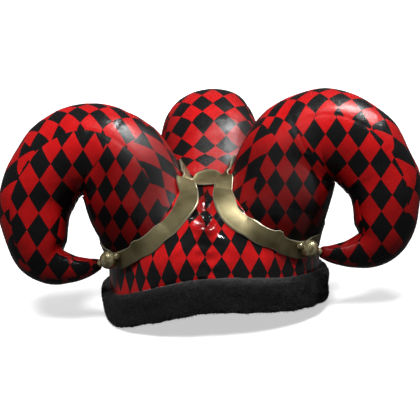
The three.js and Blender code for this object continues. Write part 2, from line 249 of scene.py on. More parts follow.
class Side(Enum):
    """The three horns, named as the wearer's sides."""

    RIGHT = "right"
    LEFT = "left"
    BACK = "back"

    @property
    def axes(self) -> Array:
        """Rows: where a horn's own outward, across and up directions point."""
        if self is Side.BACK:
            return np.array([(0.0, 1.0, 0.0), (1.0, 0.0, 0.0), (0.0, 0.0, 1.0)])
        out = 1.0 if self is Side.LEFT else -1.0
        return np.array([(out, 0.0, 0.0), (0.0, -1.0, 0.0), (0.0, 0.0, 1.0)])

    @property
    def flipped(self) -> bool:
        """True where those axes are left-handed, so that faces have to be turned."""
        return float(np.linalg.det(self.axes)) < 0


# Curves and small maths


class Table:
    """Smooth curve through rows of values, with a knot position for each row.

    Between two rows the value is a cubic whose slope at each row is that of the line between its
    neighbours, which is how the CAD source reads its tables.
    """

    def __init__(self, knots: Array, rows: Array) -> None:
        self.knots = np.asarray(knots, float)
        self.rows = np.asarray(rows, float).reshape(len(self.knots), -1)

    def __call__(self, at: Array) -> Array:
        """Value at positions.

        Args:
            at: positions along the knots, of any shape.

        Returns:
            Array of the same shape with one last axis for the columns.
        """
        at = np.asarray(at, float)
        x, y = self.knots, self.rows
        last = len(x) - 1
        i = np.clip(np.searchsorted(x, at, side="left") - 1, 0, last - 1)
        before, after = np.maximum(i - 1, 0), np.minimum(i + 2, last)
        span = x[i + 1] - x[i]
        t = np.clip((at - x[i]) / span, 0, 1)[..., None]
        slope_in = (y[i + 1] - y[before]) * (span / (x[i + 1] - x[before]))[..., None]
        slope_out = (y[after] - y[i]) * (span / (x[after] - x[i]))[..., None]
        t2, t3 = t * t, t * t * t
        start, end = 2 * t3 - 3 * t2 + 1, 3 * t2 - 2 * t3
        return start * y[i] + (t3 - 2 * t2 + t) * slope_in + end * y[i + 1] + (t3 - t2) * slope_out


def chord_knots(points: Array, power: float = 0.5) -> Array:
    """Knot positions from the distances between points, each raised to a power.

    Args:
        points: N by 3 points.
        power: 1 for chord length, 0.5 for the centripetal spacing that avoids loops.

    Returns:
        N positions from 0 to 1.
    """
    steps = np.linalg.norm(np.diff(points, axis=0), axis=1) ** power
    return np.concatenate([[0.0], np.cumsum(steps)]) / steps.sum()


def unit(vectors: Array) -> Array:
    """Vectors scaled to length one along their last axis."""
    return vectors / np.maximum(np.linalg.norm(vectors, axis=-1, keepdims=True), 1e-9)


def bump(x: Array, centre: float, width: float) -> Array:
    """Bell-shaped weight that is 1 at the centre and falls off over the width."""
    return np.exp(-(((x - centre) / width) ** 2))


def step(x: Array, low: float, high: float) -> Array:
    """Smooth rise from 0 at low to 1 at high."""
    t = np.clip((x - low) / (high - low), 0, 1)
    return t * t * (3 - 2 * t)


class Waves:
    """Smooth seeded unevenness: a sum of plane waves in random directions."""

    def __init__(self, seed: int, length: float, count: int = 14) -> None:
        rng = np.random.default_rng(seed)
        heading = unit(rng.normal(size=(count, 3)))
        lengths = length * rng.uniform(0.7, 1.6, count)
        self.waves = heading / lengths[:, None] * FULL_TURN
        self.phases = rng.uniform(0, FULL_TURN, count)
        self.scale = 1.0 / math.sqrt(count / 2)

    def __call__(self, points: Array) -> Array:
        """Value at points, mostly between -1 and 1."""
        return np.sin(points @ self.waves.T + self.phases).sum(axis=-1) * self.scale


def grid_normals(points: Array, closed: bool) -> Array:
    """Normals of a grid of points, from the directions along its rows and columns.

    Args:
        points: rows by columns by 3.
        closed: True if the last column joins the first.

    Returns:
        Unit normals, rows by columns by 3, along (row direction) x (column direction).
    """
    along = np.gradient(points, axis=0)
    if closed:
        across = np.roll(points, -1, axis=1) - np.roll(points, 1, axis=1)
    else:
        across = np.gradient(points, axis=1)
    return unit(np.cross(along, across))


# Meshes


@dataclass
class Surface:
    """Vertices, quads and, for each face corner, the cloth pattern's coordinates."""

    points: Array
    faces: Array
    pattern: Array | None = None

    def flipped(self) -> "Surface":
        """The same surface with its faces turned over."""
        pattern = None if self.pattern is None else self.pattern[:, ::-1]
        return Surface(self.points, self.faces[:, ::-1], pattern)

    def keep(self, wanted: Array) -> "Surface":
        """Only the wanted faces, without the points that nothing uses any more."""
        faces = self.faces[wanted]
        used, inverse = np.unique(faces, return_inverse=True)
        pattern = None if self.pattern is None else self.pattern[wanted]
        return Surface(self.points[used], inverse.reshape(faces.shape), pattern)

    def joined(self, other: "Surface") -> "Surface":
        """This surface and another one in one mesh."""
        mine = np.zeros((len(self.faces), 4, 2)) if self.pattern is None else self.pattern
        yours = np.zeros((len(other.faces), 4, 2)) if other.pattern is None else other.pattern
        return Surface(
            np.vstack([self.points, other.points]),
            np.vstack([self.faces, other.faces + len(self.points)]),
            np.vstack([mine, yours]),
        )


def corners(grid: Array) -> Array:
    """Values of a grid at the four corners of each of its faces."""
    return np.stack([grid[:-1, :-1], grid[:-1, 1:], grid[1:, 1:], grid[1:, :-1]], axis=2)


def grid_faces(rows: int, columns: int, closed: bool) -> Array:
    """Quads of a grid whose points are numbered row by row.

    Args:
        rows: number of rows of points.
        columns: number of points in a row.
        closed: True if the last column joins the first.

    Returns:
        Array of faces by 4 point numbers.
    """
    r, c = np.meshgrid(np.arange(rows - 1), np.arange(columns if closed else columns - 1), indexing="ij")
    nxt = (c + 1) % columns
    here, above = r * columns, (r + 1) * columns
    quads = np.stack([here + c, here + nxt, above + nxt, above + c], axis=-1)
    return quads.reshape(-1, 4)


class Builder:
    """Makes Blender objects from surfaces and gives each its place in the frame."""

    def __init__(self) -> None:
        self.shift = np.array([0.0, CROWN.axis_back, 0.0])

    def mesh(self, name: str, surface: Surface, material: bpy.types.Material) -> bpy.types.Object:
        """One smooth-shaded object from a surface in millimetres about the crown's middle.

        Args:
            name: the object's name.
            surface: points, quads and pattern coordinates.
            material: its material.

        Returns:
            The new object, riding on the hat's only body.
        """
        data = bpy.data.meshes.new(name)
        points = (surface.points + self.shift) * MM
        triangles = surface.faces[:, 2] == surface.faces[:, 3]
        faces = [tuple(f[:3]) if t else tuple(f) for f, t in zip(surface.faces.tolist(), triangles.tolist())]
        data.from_pydata(points.tolist(), [], faces)
        if surface.pattern is not None:
            layer = data.uv_layers.new(name="pattern")
            keep = np.ones(surface.pattern.shape[:2], bool)
            keep[triangles, 3] = False
            layer.data.foreach_set("uv", surface.pattern[keep].astype(np.float32).ravel())
        data.polygons.foreach_set("use_smooth", np.ones(len(data.polygons), bool))
        data.materials.append(material)
        data.update()
        made = bpy.data.objects.new(name, data)
        bpy.context.collection.objects.link(made)
        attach(made, "root")
        return made


# The crown


class Crown:
    """Outer form of the crown and everything that is laid on it."""

    knots = chord_knots(CROWN_SECTIONS * [CROWN.height, CROWN.half_width, CROWN.half_depth], 1.0)
    profile = Table(knots, CROWN_SECTIONS)
    lumps = Waves(SEED, 55.0)
    creases = Waves(SEED + 1, 19.0)

    @classmethod
    def share_at(cls, height: Array) -> Array:
        """Knot position on the profile at a height in millimetres."""
        fine = np.linspace(0, 1, 800)
        return np.interp(np.asarray(height) / CROWN.height, cls.profile(fine)[:, 0], fine)

    @classmethod
    def slope(cls, at: Array) -> Array:
        """How fast the crown's half width shrinks with height, at knot positions."""
        above, below = (cls.profile(np.clip(np.asarray(at) + shift, 0, 1)) for shift in (1e-3, -1e-3))
        near = above - below
        return -near[..., 1] * CROWN.half_width / np.maximum(near[..., 0] * CROWN.height, 1e-6)

    @classmethod
    def point(cls, at: Array, angle: Array, grow: float | Array = 0.0) -> Array:
        """Point of the crown's plain form.

        Args:
            at: knot positions on the profile, 0 at the lower edge and 1 at the top.
            angle: angles round the crown, in radians.
            grow: distance out of the surface.

        Returns:
            Points with one last axis of three.
        """
        rows = cls.profile(at)
        slope = cls.slope(at)
        lean = np.hypot(1.0, slope)
        out, up = grow / lean, grow * slope / lean
        return np.stack(
            [
                (rows[..., 1] * CROWN.half_width + out) * np.cos(angle),
                (rows[..., 2] * CROWN.half_depth + out) * np.sin(angle),
                rows[..., 0] * CROWN.height + up,
            ],
            axis=-1,
        )

    @classmethod
    def depth(cls, points: Array) -> Array:
        """How far points are inside the crown's plain form, roughly, in millimetres."""
        at = cls.share_at(np.clip(points[..., 2], 0, CROWN.height))
        rows = cls.profile(at)
        wide = np.maximum(rows[..., 1] * CROWN.half_width, 1.0)
        deep = np.maximum(rows[..., 2] * CROWN.half_depth, 1.0)
        radius = np.hypot(points[..., 0] / wide, points[..., 1] / deep)
        side = (1 - radius) * np.minimum(wide, deep)
        inside = side / np.hypot(1.0, cls.slope(at))
        return np.where(points[..., 2] > CROWN.height, CROWN.height - points[..., 2], inside)


def cuff_lift(angle: Array) -> Array:
    """Height of the cuff's lower edge, in millimetres, at angles in radians."""
    lift = Table(CUFF_LIFTS[:, 0], CUFF_LIFTS[:, 1])(np.degrees(angle) % 360)[..., 0]
    return np.maximum(lift, 0) * CUFF.front_lift


# The horns


def centripetal(points: Array, at: Array) -> Array:
    """Point on a smooth line through points, which keeps its bends even where they are uneven.

    Each stretch is a cubic. Its slopes come from the stretches beside it, weighed by the square
    roots of their lengths, and the line runs on straight beyond its two ends.

    Args:
        points: N by 3 points.
        at: positions counted in points, from 0 to N - 1.

    Returns:
        Points with one last axis of three.
    """
    ends = [2 * points[0] - points[1]], [2 * points[-1] - points[-2]]
    line = np.vstack([ends[0], points, ends[1]])
    gaps = np.maximum(np.linalg.norm(np.diff(line, axis=0), axis=1) ** 0.5, 1e-6)[:, None]
    i = np.clip(np.floor(at).astype(int), 0, len(points) - 2)
    t = (np.asarray(at, float) - i)[..., None]
    a, b, c, d = line[i], line[i + 1], line[i + 2], line[i + 3]
    before, here, after = gaps[i], gaps[i + 1], gaps[i + 2]
    slope_in = ((b - a) / before - (c - a) / (before + here) + (c - b) / here) * here
    slope_out = ((c - b) / here - (d - b) / (here + after) + (d - c) / after) * here
    t2, t3 = t * t, t * t * t
    start, end = 2 * t3 - 3 * t2 + 1, 3 * t2 - 2 * t3
    return start * b + (t3 - 2 * t2 + t) * slope_in + end * c + (t3 - t2) * slope_out


@dataclass(frozen=True)
class Panels:
    """Where the sewn panels of a horn meet, as angles from its front towards its outer side."""

    outer_front: float = math.radians(32.5)
    outer_back: float = math.radians(147.5)
    inner_back: float = math.radians(235.0)
    inner_front: float = math.radians(297.5)

    @property
    def seams(self) -> tuple[float, ...]:
        """All four seam angles."""
        return (self.outer_front, self.outer_back, self.inner_back, self.inner_front)


PANELS = Panels()

class Piece(Enum):
    """The cloth pieces that a horn and the crown are sewn from."""

    LEG = "leg"
    CURL = "curl"
    TOP = "top"
    EDGE = "edge"
    CROWN = "crown"


@dataclass(frozen=True)
class Cut:
    """How a cloth piece is cut from the printed cloth.

    Each line gives the diamonds counted per millimetre of the piece's first and second
    coordinate, and the count at its start. Red diamonds lie at whole numbers.
    """

    columns: tuple[float, float, float]
    rows: tuple[float, float, float]

    def __call__(self, first: Array, second: Array) -> Array:
        """Counts of diamonds at places of the piece."""
        (a, b, c), (d, e, f) = self.columns, self.rows
        return np.stack([a * first + b * second + c, d * first + e * second + f], axis=-1)


UPRIGHT = Cut((0.0493, 0.0, 0.0), (0.0, 0.0330, 0.0))
CUTS = {
    (Side.RIGHT, Piece.LEG): Cut((0.0650, 0.0066, -4.794), (0.0037, 0.0423, -4.107)),
    (Side.RIGHT, Piece.CURL): Cut((0.0529, 0.0048, -5.659), (-0.0040, 0.0350, -2.138)),
    (Side.RIGHT, Piece.TOP): Cut((0.0539, -0.0127, -5.532), (-0.0114, 0.0492, 2.782)),
    (Side.RIGHT, Piece.EDGE): UPRIGHT,
    (Side.RIGHT, Piece.CROWN): Cut((0.0668, 0.0052, -0.958), (0.0031, 0.0316, -2.330)),
    (Side.LEFT, Piece.LEG): Cut((0.0654, -0.0033, -4.048), (0.0053, 0.0440, -4.247)),
    (Side.LEFT, Piece.CURL): Cut((0.0534, -0.0027, -5.145), (0.0008, 0.0379, -2.603)),
    (Side.LEFT, Piece.TOP): Cut((0.0539, -0.0127, -6.200), (-0.0114, 0.0492, 2.880)),
    (Side.LEFT, Piece.EDGE): UPRIGHT,
    (Side.LEFT, Piece.CROWN): Cut((0.0625, -0.0044, 0.009), (0.0059, 0.0363, -2.687)),
    (Side.BACK, Piece.LEG): UPRIGHT,
    (Side.BACK, Piece.CURL): UPRIGHT,
    (Side.BACK, Piece.TOP): Cut((0.0487, -0.0027, 0.566), (0.0, 0.0551, -2.417)),
    (Side.BACK, Piece.EDGE): Cut((0.0487, -0.0027, 0.566), (0.0, 0.0551, -2.417)),
}
LINING_COUNT = 0.5

# Heights on the crown and how much more cloth is gathered up to there: away from the front seam, and along it
CROWN_GATHER = np.array(
    [
        (50, 0, 0),
        (64, 0, -1),
        (80, 0, 6),
        (87, 1, 9),
        (94, 4, 11),
        (102, 8, 15),
        (112, 14, 31),
        (121, 20, 42),
    ]
)
SEAM_REACH = 20.0

# How far out a side horn's leg piece is sewn to its curl piece, as a share of the reach
CURL_SEAM = 0.585


class Horn:
    """One stuffed horn: a swept oval tube with seams, puckers and folds."""

    rows, columns = 300, 144
    samples = 400

    def __init__(self, side: Side) -> None:
        self.side = side
        table = BACK_HORN if side is Side.BACK else SIDE_HORN
        self.bell, self.towards = self.bead_line(side)
        tip = self.bell - self.towards * (BEAD.bell + 3 * BEAD.gap + 2 * BEAD.collar - BEAD.gap)
        centres = table[:, [0, 2, 1]] * [HORN.reach, HORN.swing, HORN.rise]
        halves = table[:, 3:5] * HORN.half
        last = centres[-1]
        leave = last + unit(last - centres[-2]) * 0.30 * np.linalg.norm(last - tip)
        bend = tip - self.towards * 0.40 * np.linalg.norm(last - tip)
        for share in (0.28, 0.54, 0.79):
            rest = 1 - share
            near = last * rest**3 + leave * 3 * share * rest**2 + bend * 3 * share**2 * rest + tip * share**3
            half = halves[len(table) - 1, 0] * (1 - share**0.9) + HORN.tip_half * share**0.9
            centres, halves = np.vstack([centres, near]), np.vstack([halves, [half, half]])
        self.centres = np.vstack([centres, tip])
        self.halves = Table(np.arange(len(self.centres)), np.vstack([halves, [HORN.tip_half] * 2]))
        fine = np.linspace(0, len(self.centres) - 1, self.samples)
        line = centripetal(self.centres, fine)
        lengths = np.concatenate([[0.0], np.cumsum(np.linalg.norm(np.diff(line, axis=0), axis=1))])
        self.length = lengths[-1]
        self.at_length = lambda length: np.interp(length, lengths, fine)
        rising = slice(self.samples // 2)
        self.curl_seam = np.interp(CURL_SEAM * HORN.reach, line[rising, 0], lengths[rising])
        self.lumps = Waves(SEED + 10 + list(Side).index(side), 46.0)
        self.ripples = Waves(SEED + 20 + list(Side).index(side), 15.0)

    @staticmethod
    def bead_line(side: Side) -> tuple[Array, Array]:
        """The bell's centre and the direction from the tip through the beads, in the horn's axes."""
        angle = math.pi / 2 if side is Side.BACK else -math.radians(BEAD.side_angle)
        at = Crown.share_at(BEAD.height)
        place = Crown.point(at, np.array(angle), BEAD.bell + BEAD.off_wall)
        if side is Side.BACK:
            return np.array([place[1], 0.0, BEAD.height]), unit(np.array([-0.08, 0.0, 1.0]))
        return np.array([place[0], -place[1], BEAD.height]), unit(np.array([-0.74, 0.56, 0.38]))

    def frame(self, at: Array) -> tuple[Array, Array, Array, Array]:
        """Centre, tangent, front and outer directions at positions along the horn."""
        centre = centripetal(self.centres, at)
        small = 1e-3
        top = len(self.centres) - 1
        ahead, behind = np.minimum(at + small, top), np.maximum(at - small, 0)
        tangent = unit(centripetal(self.centres, ahead) - centripetal(self.centres, behind))
        across = np.array([0.0, 1.0, 0.0])
        front = unit(across - tangent * (tangent @ across)[..., None])
        return centre, tangent, front, np.cross(tangent, front)

    def world(self, points: Array) -> Array:
        """Points from the horn's own axes to the frame's."""
        return points @ self.side.axes

    def own(self, points: Array) -> Array:
        """Points from the frame's axes to the horn's own."""
        return points @ self.side.axes.T

    def form(self, at: Array, angle: Array, grow: float = 0.0) -> Array:
        """Plain form: an oval swept along the centreline.

        Args:
            at: positions along the horn, counted in stations.
            angle: angles from the front towards the outer side.
            grow: distance out of the surface.

        Returns:
            Points in the frame's axes.
        """
        centre, _, front, outer = self.frame(at)
        halves = self.halves(at) + grow
        own = centre + front * (halves[..., 1] * np.cos(angle))[..., None]
        return self.world(own + outer * (halves[..., 0] * np.sin(angle))[..., None])

    def depth(self, points: Array) -> Array:
        """How far points are inside the plain form, roughly, in millimetres.

        The nearest place on the centreline gives the oval, and the point's place in it gives a
        radius as a share of the oval's.
        """
        at = np.linspace(0, len(self.centres) - 1, 160)
        centre, _, front, outer = self.frame(at)
        halves = self.halves(at)
        own = self.own(points.reshape(-1, 3))
        near = np.concatenate(
            [
                np.argmin(((part[:, None, :] - centre[None]) ** 2).sum(axis=-1), axis=1)
                for part in np.array_split(own, max(1, len(own) // 4000))
            ]
        )
        offset = own - centre[near]
        ahead = (offset * front[near]).sum(axis=-1) / halves[near, 1]
        aside = (offset * outer[near]).sum(axis=-1) / halves[near, 0]
        run = (offset * np.cross(front[near], outer[near])).sum(axis=-1)
        inside = (1 - np.hypot(ahead, aside)) * halves[near].min(axis=-1)
        return np.where(np.abs(run) > 6.0, -np.abs(run), inside).reshape(points.shape[:-1])

    def relief(self, points: Array, share: Array, angle: Array, length: Array) -> Array:
        """Height of the cloth over the plain form.

        Each seam is a narrow groove with puckers across it that fade out beside it. Inside the
        curl the cloth is squeezed into folds across the horn. The stuffing adds soft lumps.

        Args:
            points: points of the plain form.
            share: positions along the horn as shares of its length.
            angle: angles from the front towards the outer side.
            length: distances along the horn.

        Returns:
            Heights in millimetres.
        """
        halves = self.halves(self.at_length(length))
        radius = halves.mean(axis=-1)
        fade = step(share, 0.0, 0.05) * step(1 - share, 0.0, 0.06)
        height = 0.55 * self.lumps(points) * step(radius, 10.0, 34.0) + 0.07 * self.ripples(points)
        for seam in PANELS.seams:
            away = np.abs((angle - seam + math.pi) % FULL_TURN - math.pi) * radius
            wobble = 2.2 * np.sin(length / 17.0 + seam * 5.0)
            pucker = np.sin((length + wobble) * FULL_TURN / 8.5) * (0.6 + 0.4 * np.sin(length / 23.0 + seam))
            height = height - 0.38 * np.exp(-((away / 0.9) ** 2)) - 0.12 * np.exp(-((away / 4.0) ** 2))
            height = height + 0.10 * pucker * np.exp(-((away / 5.0) ** 2)) * fade
        if self.side is not Side.BACK:
            away = length - self.curl_seam + 1.2 * self.ripples(points)
            beside = 0.15 * np.exp(-(((np.abs(away) - 3.0) / 2.2) ** 2))
            height = height - 0.38 * np.exp(-((away / 0.9) ** 2)) + beside
        inner = np.abs((angle - 1.5 * math.pi + math.pi) % FULL_TURN - math.pi)
        bent = bump(share, 0.50, 0.17)
        bow = 3.4 * np.cos(inner * 1.6) * radius / 10
        folds = np.sin((length - bow) * FULL_TURN / 12.5 + 0.8 * self.ripples(points))
        height = height + 0.2 * folds * bent * np.exp(-((inner / 0.75) ** 2)) * fade
        return height

    def pattern(self, own: Array, angle: Array, length: Array) -> Array:
        """Counts of diamonds at each corner of each face.

        The front and back panels are flat pieces that lie in the curl's plane: a leg piece up to
        the curl's seam and a curl piece beyond it. The strips between them are top pieces where
        the horn runs level, and edge pieces where it runs up or down. The back horn's outer strip
        is one long top piece, cut along the horn.

        Args:
            own: grid of points in the horn's own axes.
            angle: the columns' angles, one more than the grid has columns.
            length: the rows' distances along the horn.

        Returns:
            Faces by 4 corners by 2 counts.
        """
        wrapped = np.concatenate([own, own[:, :1]], axis=1)
        middle = (angle[:-1] + angle[1:]) / 2
        out, across, up = (wrapped[..., k] for k in range(3))
        runs = np.broadcast_to(length[:, None], out.shape)
        halfway = (length[:-1] + length[1:]) / 2
        tangent = self.frame(self.at_length(halfway))[1]
        level = (np.abs(tangent[:, 0]) > np.abs(tangent[:, 2]))[:, None, None, None]
        curled = (halfway > self.curl_seam)[:, None, None, None]
        outer = ((middle > PANELS.outer_front) & (middle < PANELS.outer_back))[None, :, None, None]
        inner = ((middle > PANELS.inner_back) & (middle < PANELS.inner_front))[None, :, None, None]

        def piece(kind: Piece, first: Array, second: Array) -> Array:
            return corners(CUTS[self.side, kind](first, second))

        panel = np.where(curled, piece(Piece.CURL, out, up), piece(Piece.LEG, out, up))
        if self.side is Side.BACK:
            strip = piece(Piece.TOP, -across, runs)
        else:
            strip = np.where(level, piece(Piece.TOP, out, -across), piece(Piece.EDGE, across, up))
        return np.where(outer | inner, strip, panel).reshape(-1, 4, 2)

    def plain(self) -> Surface:
        """The root's plain form without relief, for laying trims on."""
        at, angle = np.meshgrid(
            np.linspace(0, 4.5, 120), np.linspace(0, FULL_TURN, 96, endpoint=False), indexing="ij"
        )
        whole = Surface(self.form(at, angle).reshape(-1, 3), grid_faces(120, 96, True))
        return whole.flipped() if self.side.flipped else whole

    def surface(self) -> Surface:
        """The visible cloth, closed over the tip."""
        share = np.linspace(0.0, 1.0, self.rows)
        length = share * self.length
        at = self.at_length(length)
        angle = np.linspace(0, FULL_TURN, self.columns + 1)
        at_grid, angle_grid = np.meshgrid(at, angle[:-1], indexing="ij")
        length_grid = np.broadcast_to(length[:, None], at_grid.shape)
        plain = self.form(at_grid, angle_grid)
        normals = grid_normals(plain, True)
        outward = plain - self.world(self.frame(at_grid)[0])
        normals = normals * np.sign((normals * outward).sum(axis=-1, keepdims=True))
        relief = self.relief(plain, length_grid / self.length, angle_grid, length_grid)
        points = plain + normals * relief[..., None]
        pattern = self.pattern(self.own(points), angle, length)
        end = self.world(self.centres[-1] + self.towards * 0.9)
        cap = self.world(self.centres[-1] + self.towards * 0.35) * 0.45 + points[-1] * 0.55
        count = points.shape[0] * self.columns
        tip = np.arange(self.columns) + count - self.columns
        last = np.arange(self.columns) + count
        ring = np.stack([tip, np.roll(tip, -1), np.roll(last, -1), last], axis=-1)
        centre = np.full(self.columns, count + self.columns)
        fan = np.stack([last, np.roll(last, -1), centre, centre], axis=-1)
        faces = np.vstack([grid_faces(self.rows, self.columns, True), ring, fan])
        spare = np.repeat(pattern[-self.columns :, 2:3], 4, axis=1)
        whole = Surface(
            np.vstack([points.reshape(-1, 3), cap, end[None]]), faces, np.vstack([pattern, spare, spare])
        )
        return whole.flipped() if self.side.flipped else whole


def trimmed_to(surface: Surface, buried: Array, limit: float) -> Surface:
    """A surface without the faces that lie deeper than a limit inside what it is sewn to.

    Args:
        surface: the cloth.
        buried: depth of each point.
        limit: the greatest depth that stays.

    Returns:
        The rest of the surface.
    """
    return surface.keep((buried[surface.faces] < limit).all(axis=1))


# The crown's cloth


class CrownCloth:
    """The crown's outer cloth with its seam, puckers and creases, and its lining."""

    rows, columns = 176, 420
    lining_step = 3

    def relief(self, points: Array, angle: Array, height: Array) -> Array:
        """Height of the cloth over the plain form.

        The seam down the front is a groove with a puckered strip on each side. Slanting creases
        run from it to the trims, and the cloth gathers a little over the cuff.
        """
        from_front = (angle - 1.5 * math.pi + math.pi) % FULL_TURN - math.pi
        aside = from_front * CROWN.half_width
        near = np.exp(-((aside / 15.0) ** 2)) * step(height, 22.0, 50.0)
        pucker = np.sin(height * FULL_TURN / 9.0 + 1.3 * np.sin(height / 7.0) + 0.9 * np.sign(aside))
        relief = 0.8 * Crown.lumps(points) - 1.3 * np.exp(-((aside / 1.3) ** 2))
        relief = relief + 0.85 * pucker * near * np.exp(-np.abs(aside) / 14.0)
        for slope, offset, wave, size in ((0.75, 86.0, 26.0, 1.9), (-0.62, 92.0, 31.0, 1.7)):
            along = height - offset - slope * np.abs(aside)
            ridge = np.exp(-((along / 4.2) ** 2)) - 0.5 * np.exp(-(((along - 6.5) / 4.5) ** 2))
            relief = relief + size * ridge * np.exp(-((aside / wave) ** 2))
        front = np.exp(-((aside / 62.0) ** 2))
        gathers = np.sin(aside / 5.6 + 1.4 * np.sin(aside / 19.0)) * np.sin(aside / 13.0 + 0.6)
        relief = relief + 0.8 * front * gathers * np.exp(-(((height - 55.0) / 17.0) ** 2))
        return relief + 0.5 * front * Crown.creases(points)

    def surface(self) -> Surface:
        """Outer cloth over the top, lining inside, and the turned edge between them."""
        angle = np.linspace(-math.pi / 2, 1.5 * math.pi, self.columns + 1)
        lowest = np.interp(cuff_lift(angle[:-1]) + CUFF.tuck + 1.0, np.linspace(0, 121, 500),
                           Crown.share_at(np.linspace(0, 121, 500)))
        ramp = np.linspace(0, 1, self.rows)[:, None]
        at = lowest[None] * (1 - ramp) + 0.997 * ramp
        around = np.broadcast_to(angle[None, :-1], at.shape)
        plain = Crown.point(at, around)
        normals = -grid_normals(plain, True)
        relief = self.relief(plain, around % FULL_TURN, plain[..., 2])
        outer = plain + normals * relief[..., None]
        thin = slice(None, None, self.lining_step)
        inner = Crown.point(at[thin][::-1], around[thin], -CROWN.wall)
        rim = (outer[0] + inner[-1]) / 2 - [0, 0, 0.8]
        top = np.array([0.0, 0.0, CROWN.height])
        pattern = self.pattern(plain, angle)
        faces = grid_faces(self.rows, self.columns, True)
        count = self.rows * self.columns
        ring = np.arange(self.columns)
        cap = np.stack([count - self.columns + ring, count - self.columns + (ring + 1) % self.columns,
                        np.full(self.columns, count), np.full(self.columns, count)], axis=-1)
        outside = Surface(
            np.vstack([outer.reshape(-1, 3), top]), np.vstack([faces, cap]),
            np.vstack([pattern, pattern[-self.columns :]]),
        )
        inside_points = np.vstack([inner.reshape(-1, 3), rim, outer[0], top - [0, 0, CROWN.wall]])
        inside_faces = np.vstack([
            grid_faces(len(inner) + 2, self.columns, True),
            np.stack([(ring + 1) % self.columns, ring, np.full(self.columns, len(inside_points) - 1),
                      np.full(self.columns, len(inside_points) - 1)], axis=-1),
        ])
        inside = Surface(inside_points, inside_faces, np.full((len(inside_faces), 4, 2), LINING_COUNT))
        return outside.joined(inside)

    def plain(self) -> Surface:
        """The plain form without relief, for laying trims on."""
        at, angle = np.meshgrid(
            np.linspace(0.1, 0.999, 120), np.linspace(0, FULL_TURN, 240, endpoint=False), indexing="ij"
        )
        return Surface(Crown.point(at, angle).reshape(-1, 3), grid_faces(120, 240, True))

    def pattern(self, points: Array, angle: Array) -> Array:
        """Counts of diamonds at each corner of each face.

        The crown is two pieces that meet at the front seam and at the back. Their coordinates are
        the distance round the crown from the front seam, and the height.
        """
        fine = np.linspace(-math.pi / 2, 1.5 * math.pi, 2000)
        run = np.hypot(CROWN.half_width * np.sin(fine), CROWN.half_depth * np.cos(fine)) * (fine[1] - fine[0])
        around = np.interp(angle, fine, np.cumsum(run) - run[0])
        left = (angle[:-1] < math.pi / 2)[None, :, None, None]
        around = np.minimum(around, around[-1] - around)
        height = np.concatenate([points, points[:, :1]], axis=1)[..., 2]
        wide = Crown.profile(Crown.share_at(points[:, :1, 2]))[..., 1]
        distance = around[None] * (0.35 + 0.65 * wide)
        away, seam = (np.interp(height, CROWN_GATHER[:, 0], CROWN_GATHER[:, k]) for k in (1, 2))
        height = height + away + (seam - away) * np.exp(-((distance / SEAM_REACH) ** 2))

        def piece(side: Side) -> Array:
            return corners(CUTS[side, Piece.CROWN](distance, height))

        return np.where(left, piece(Side.LEFT), piece(Side.RIGHT)).reshape(-1, 4, 2)


# The cuff


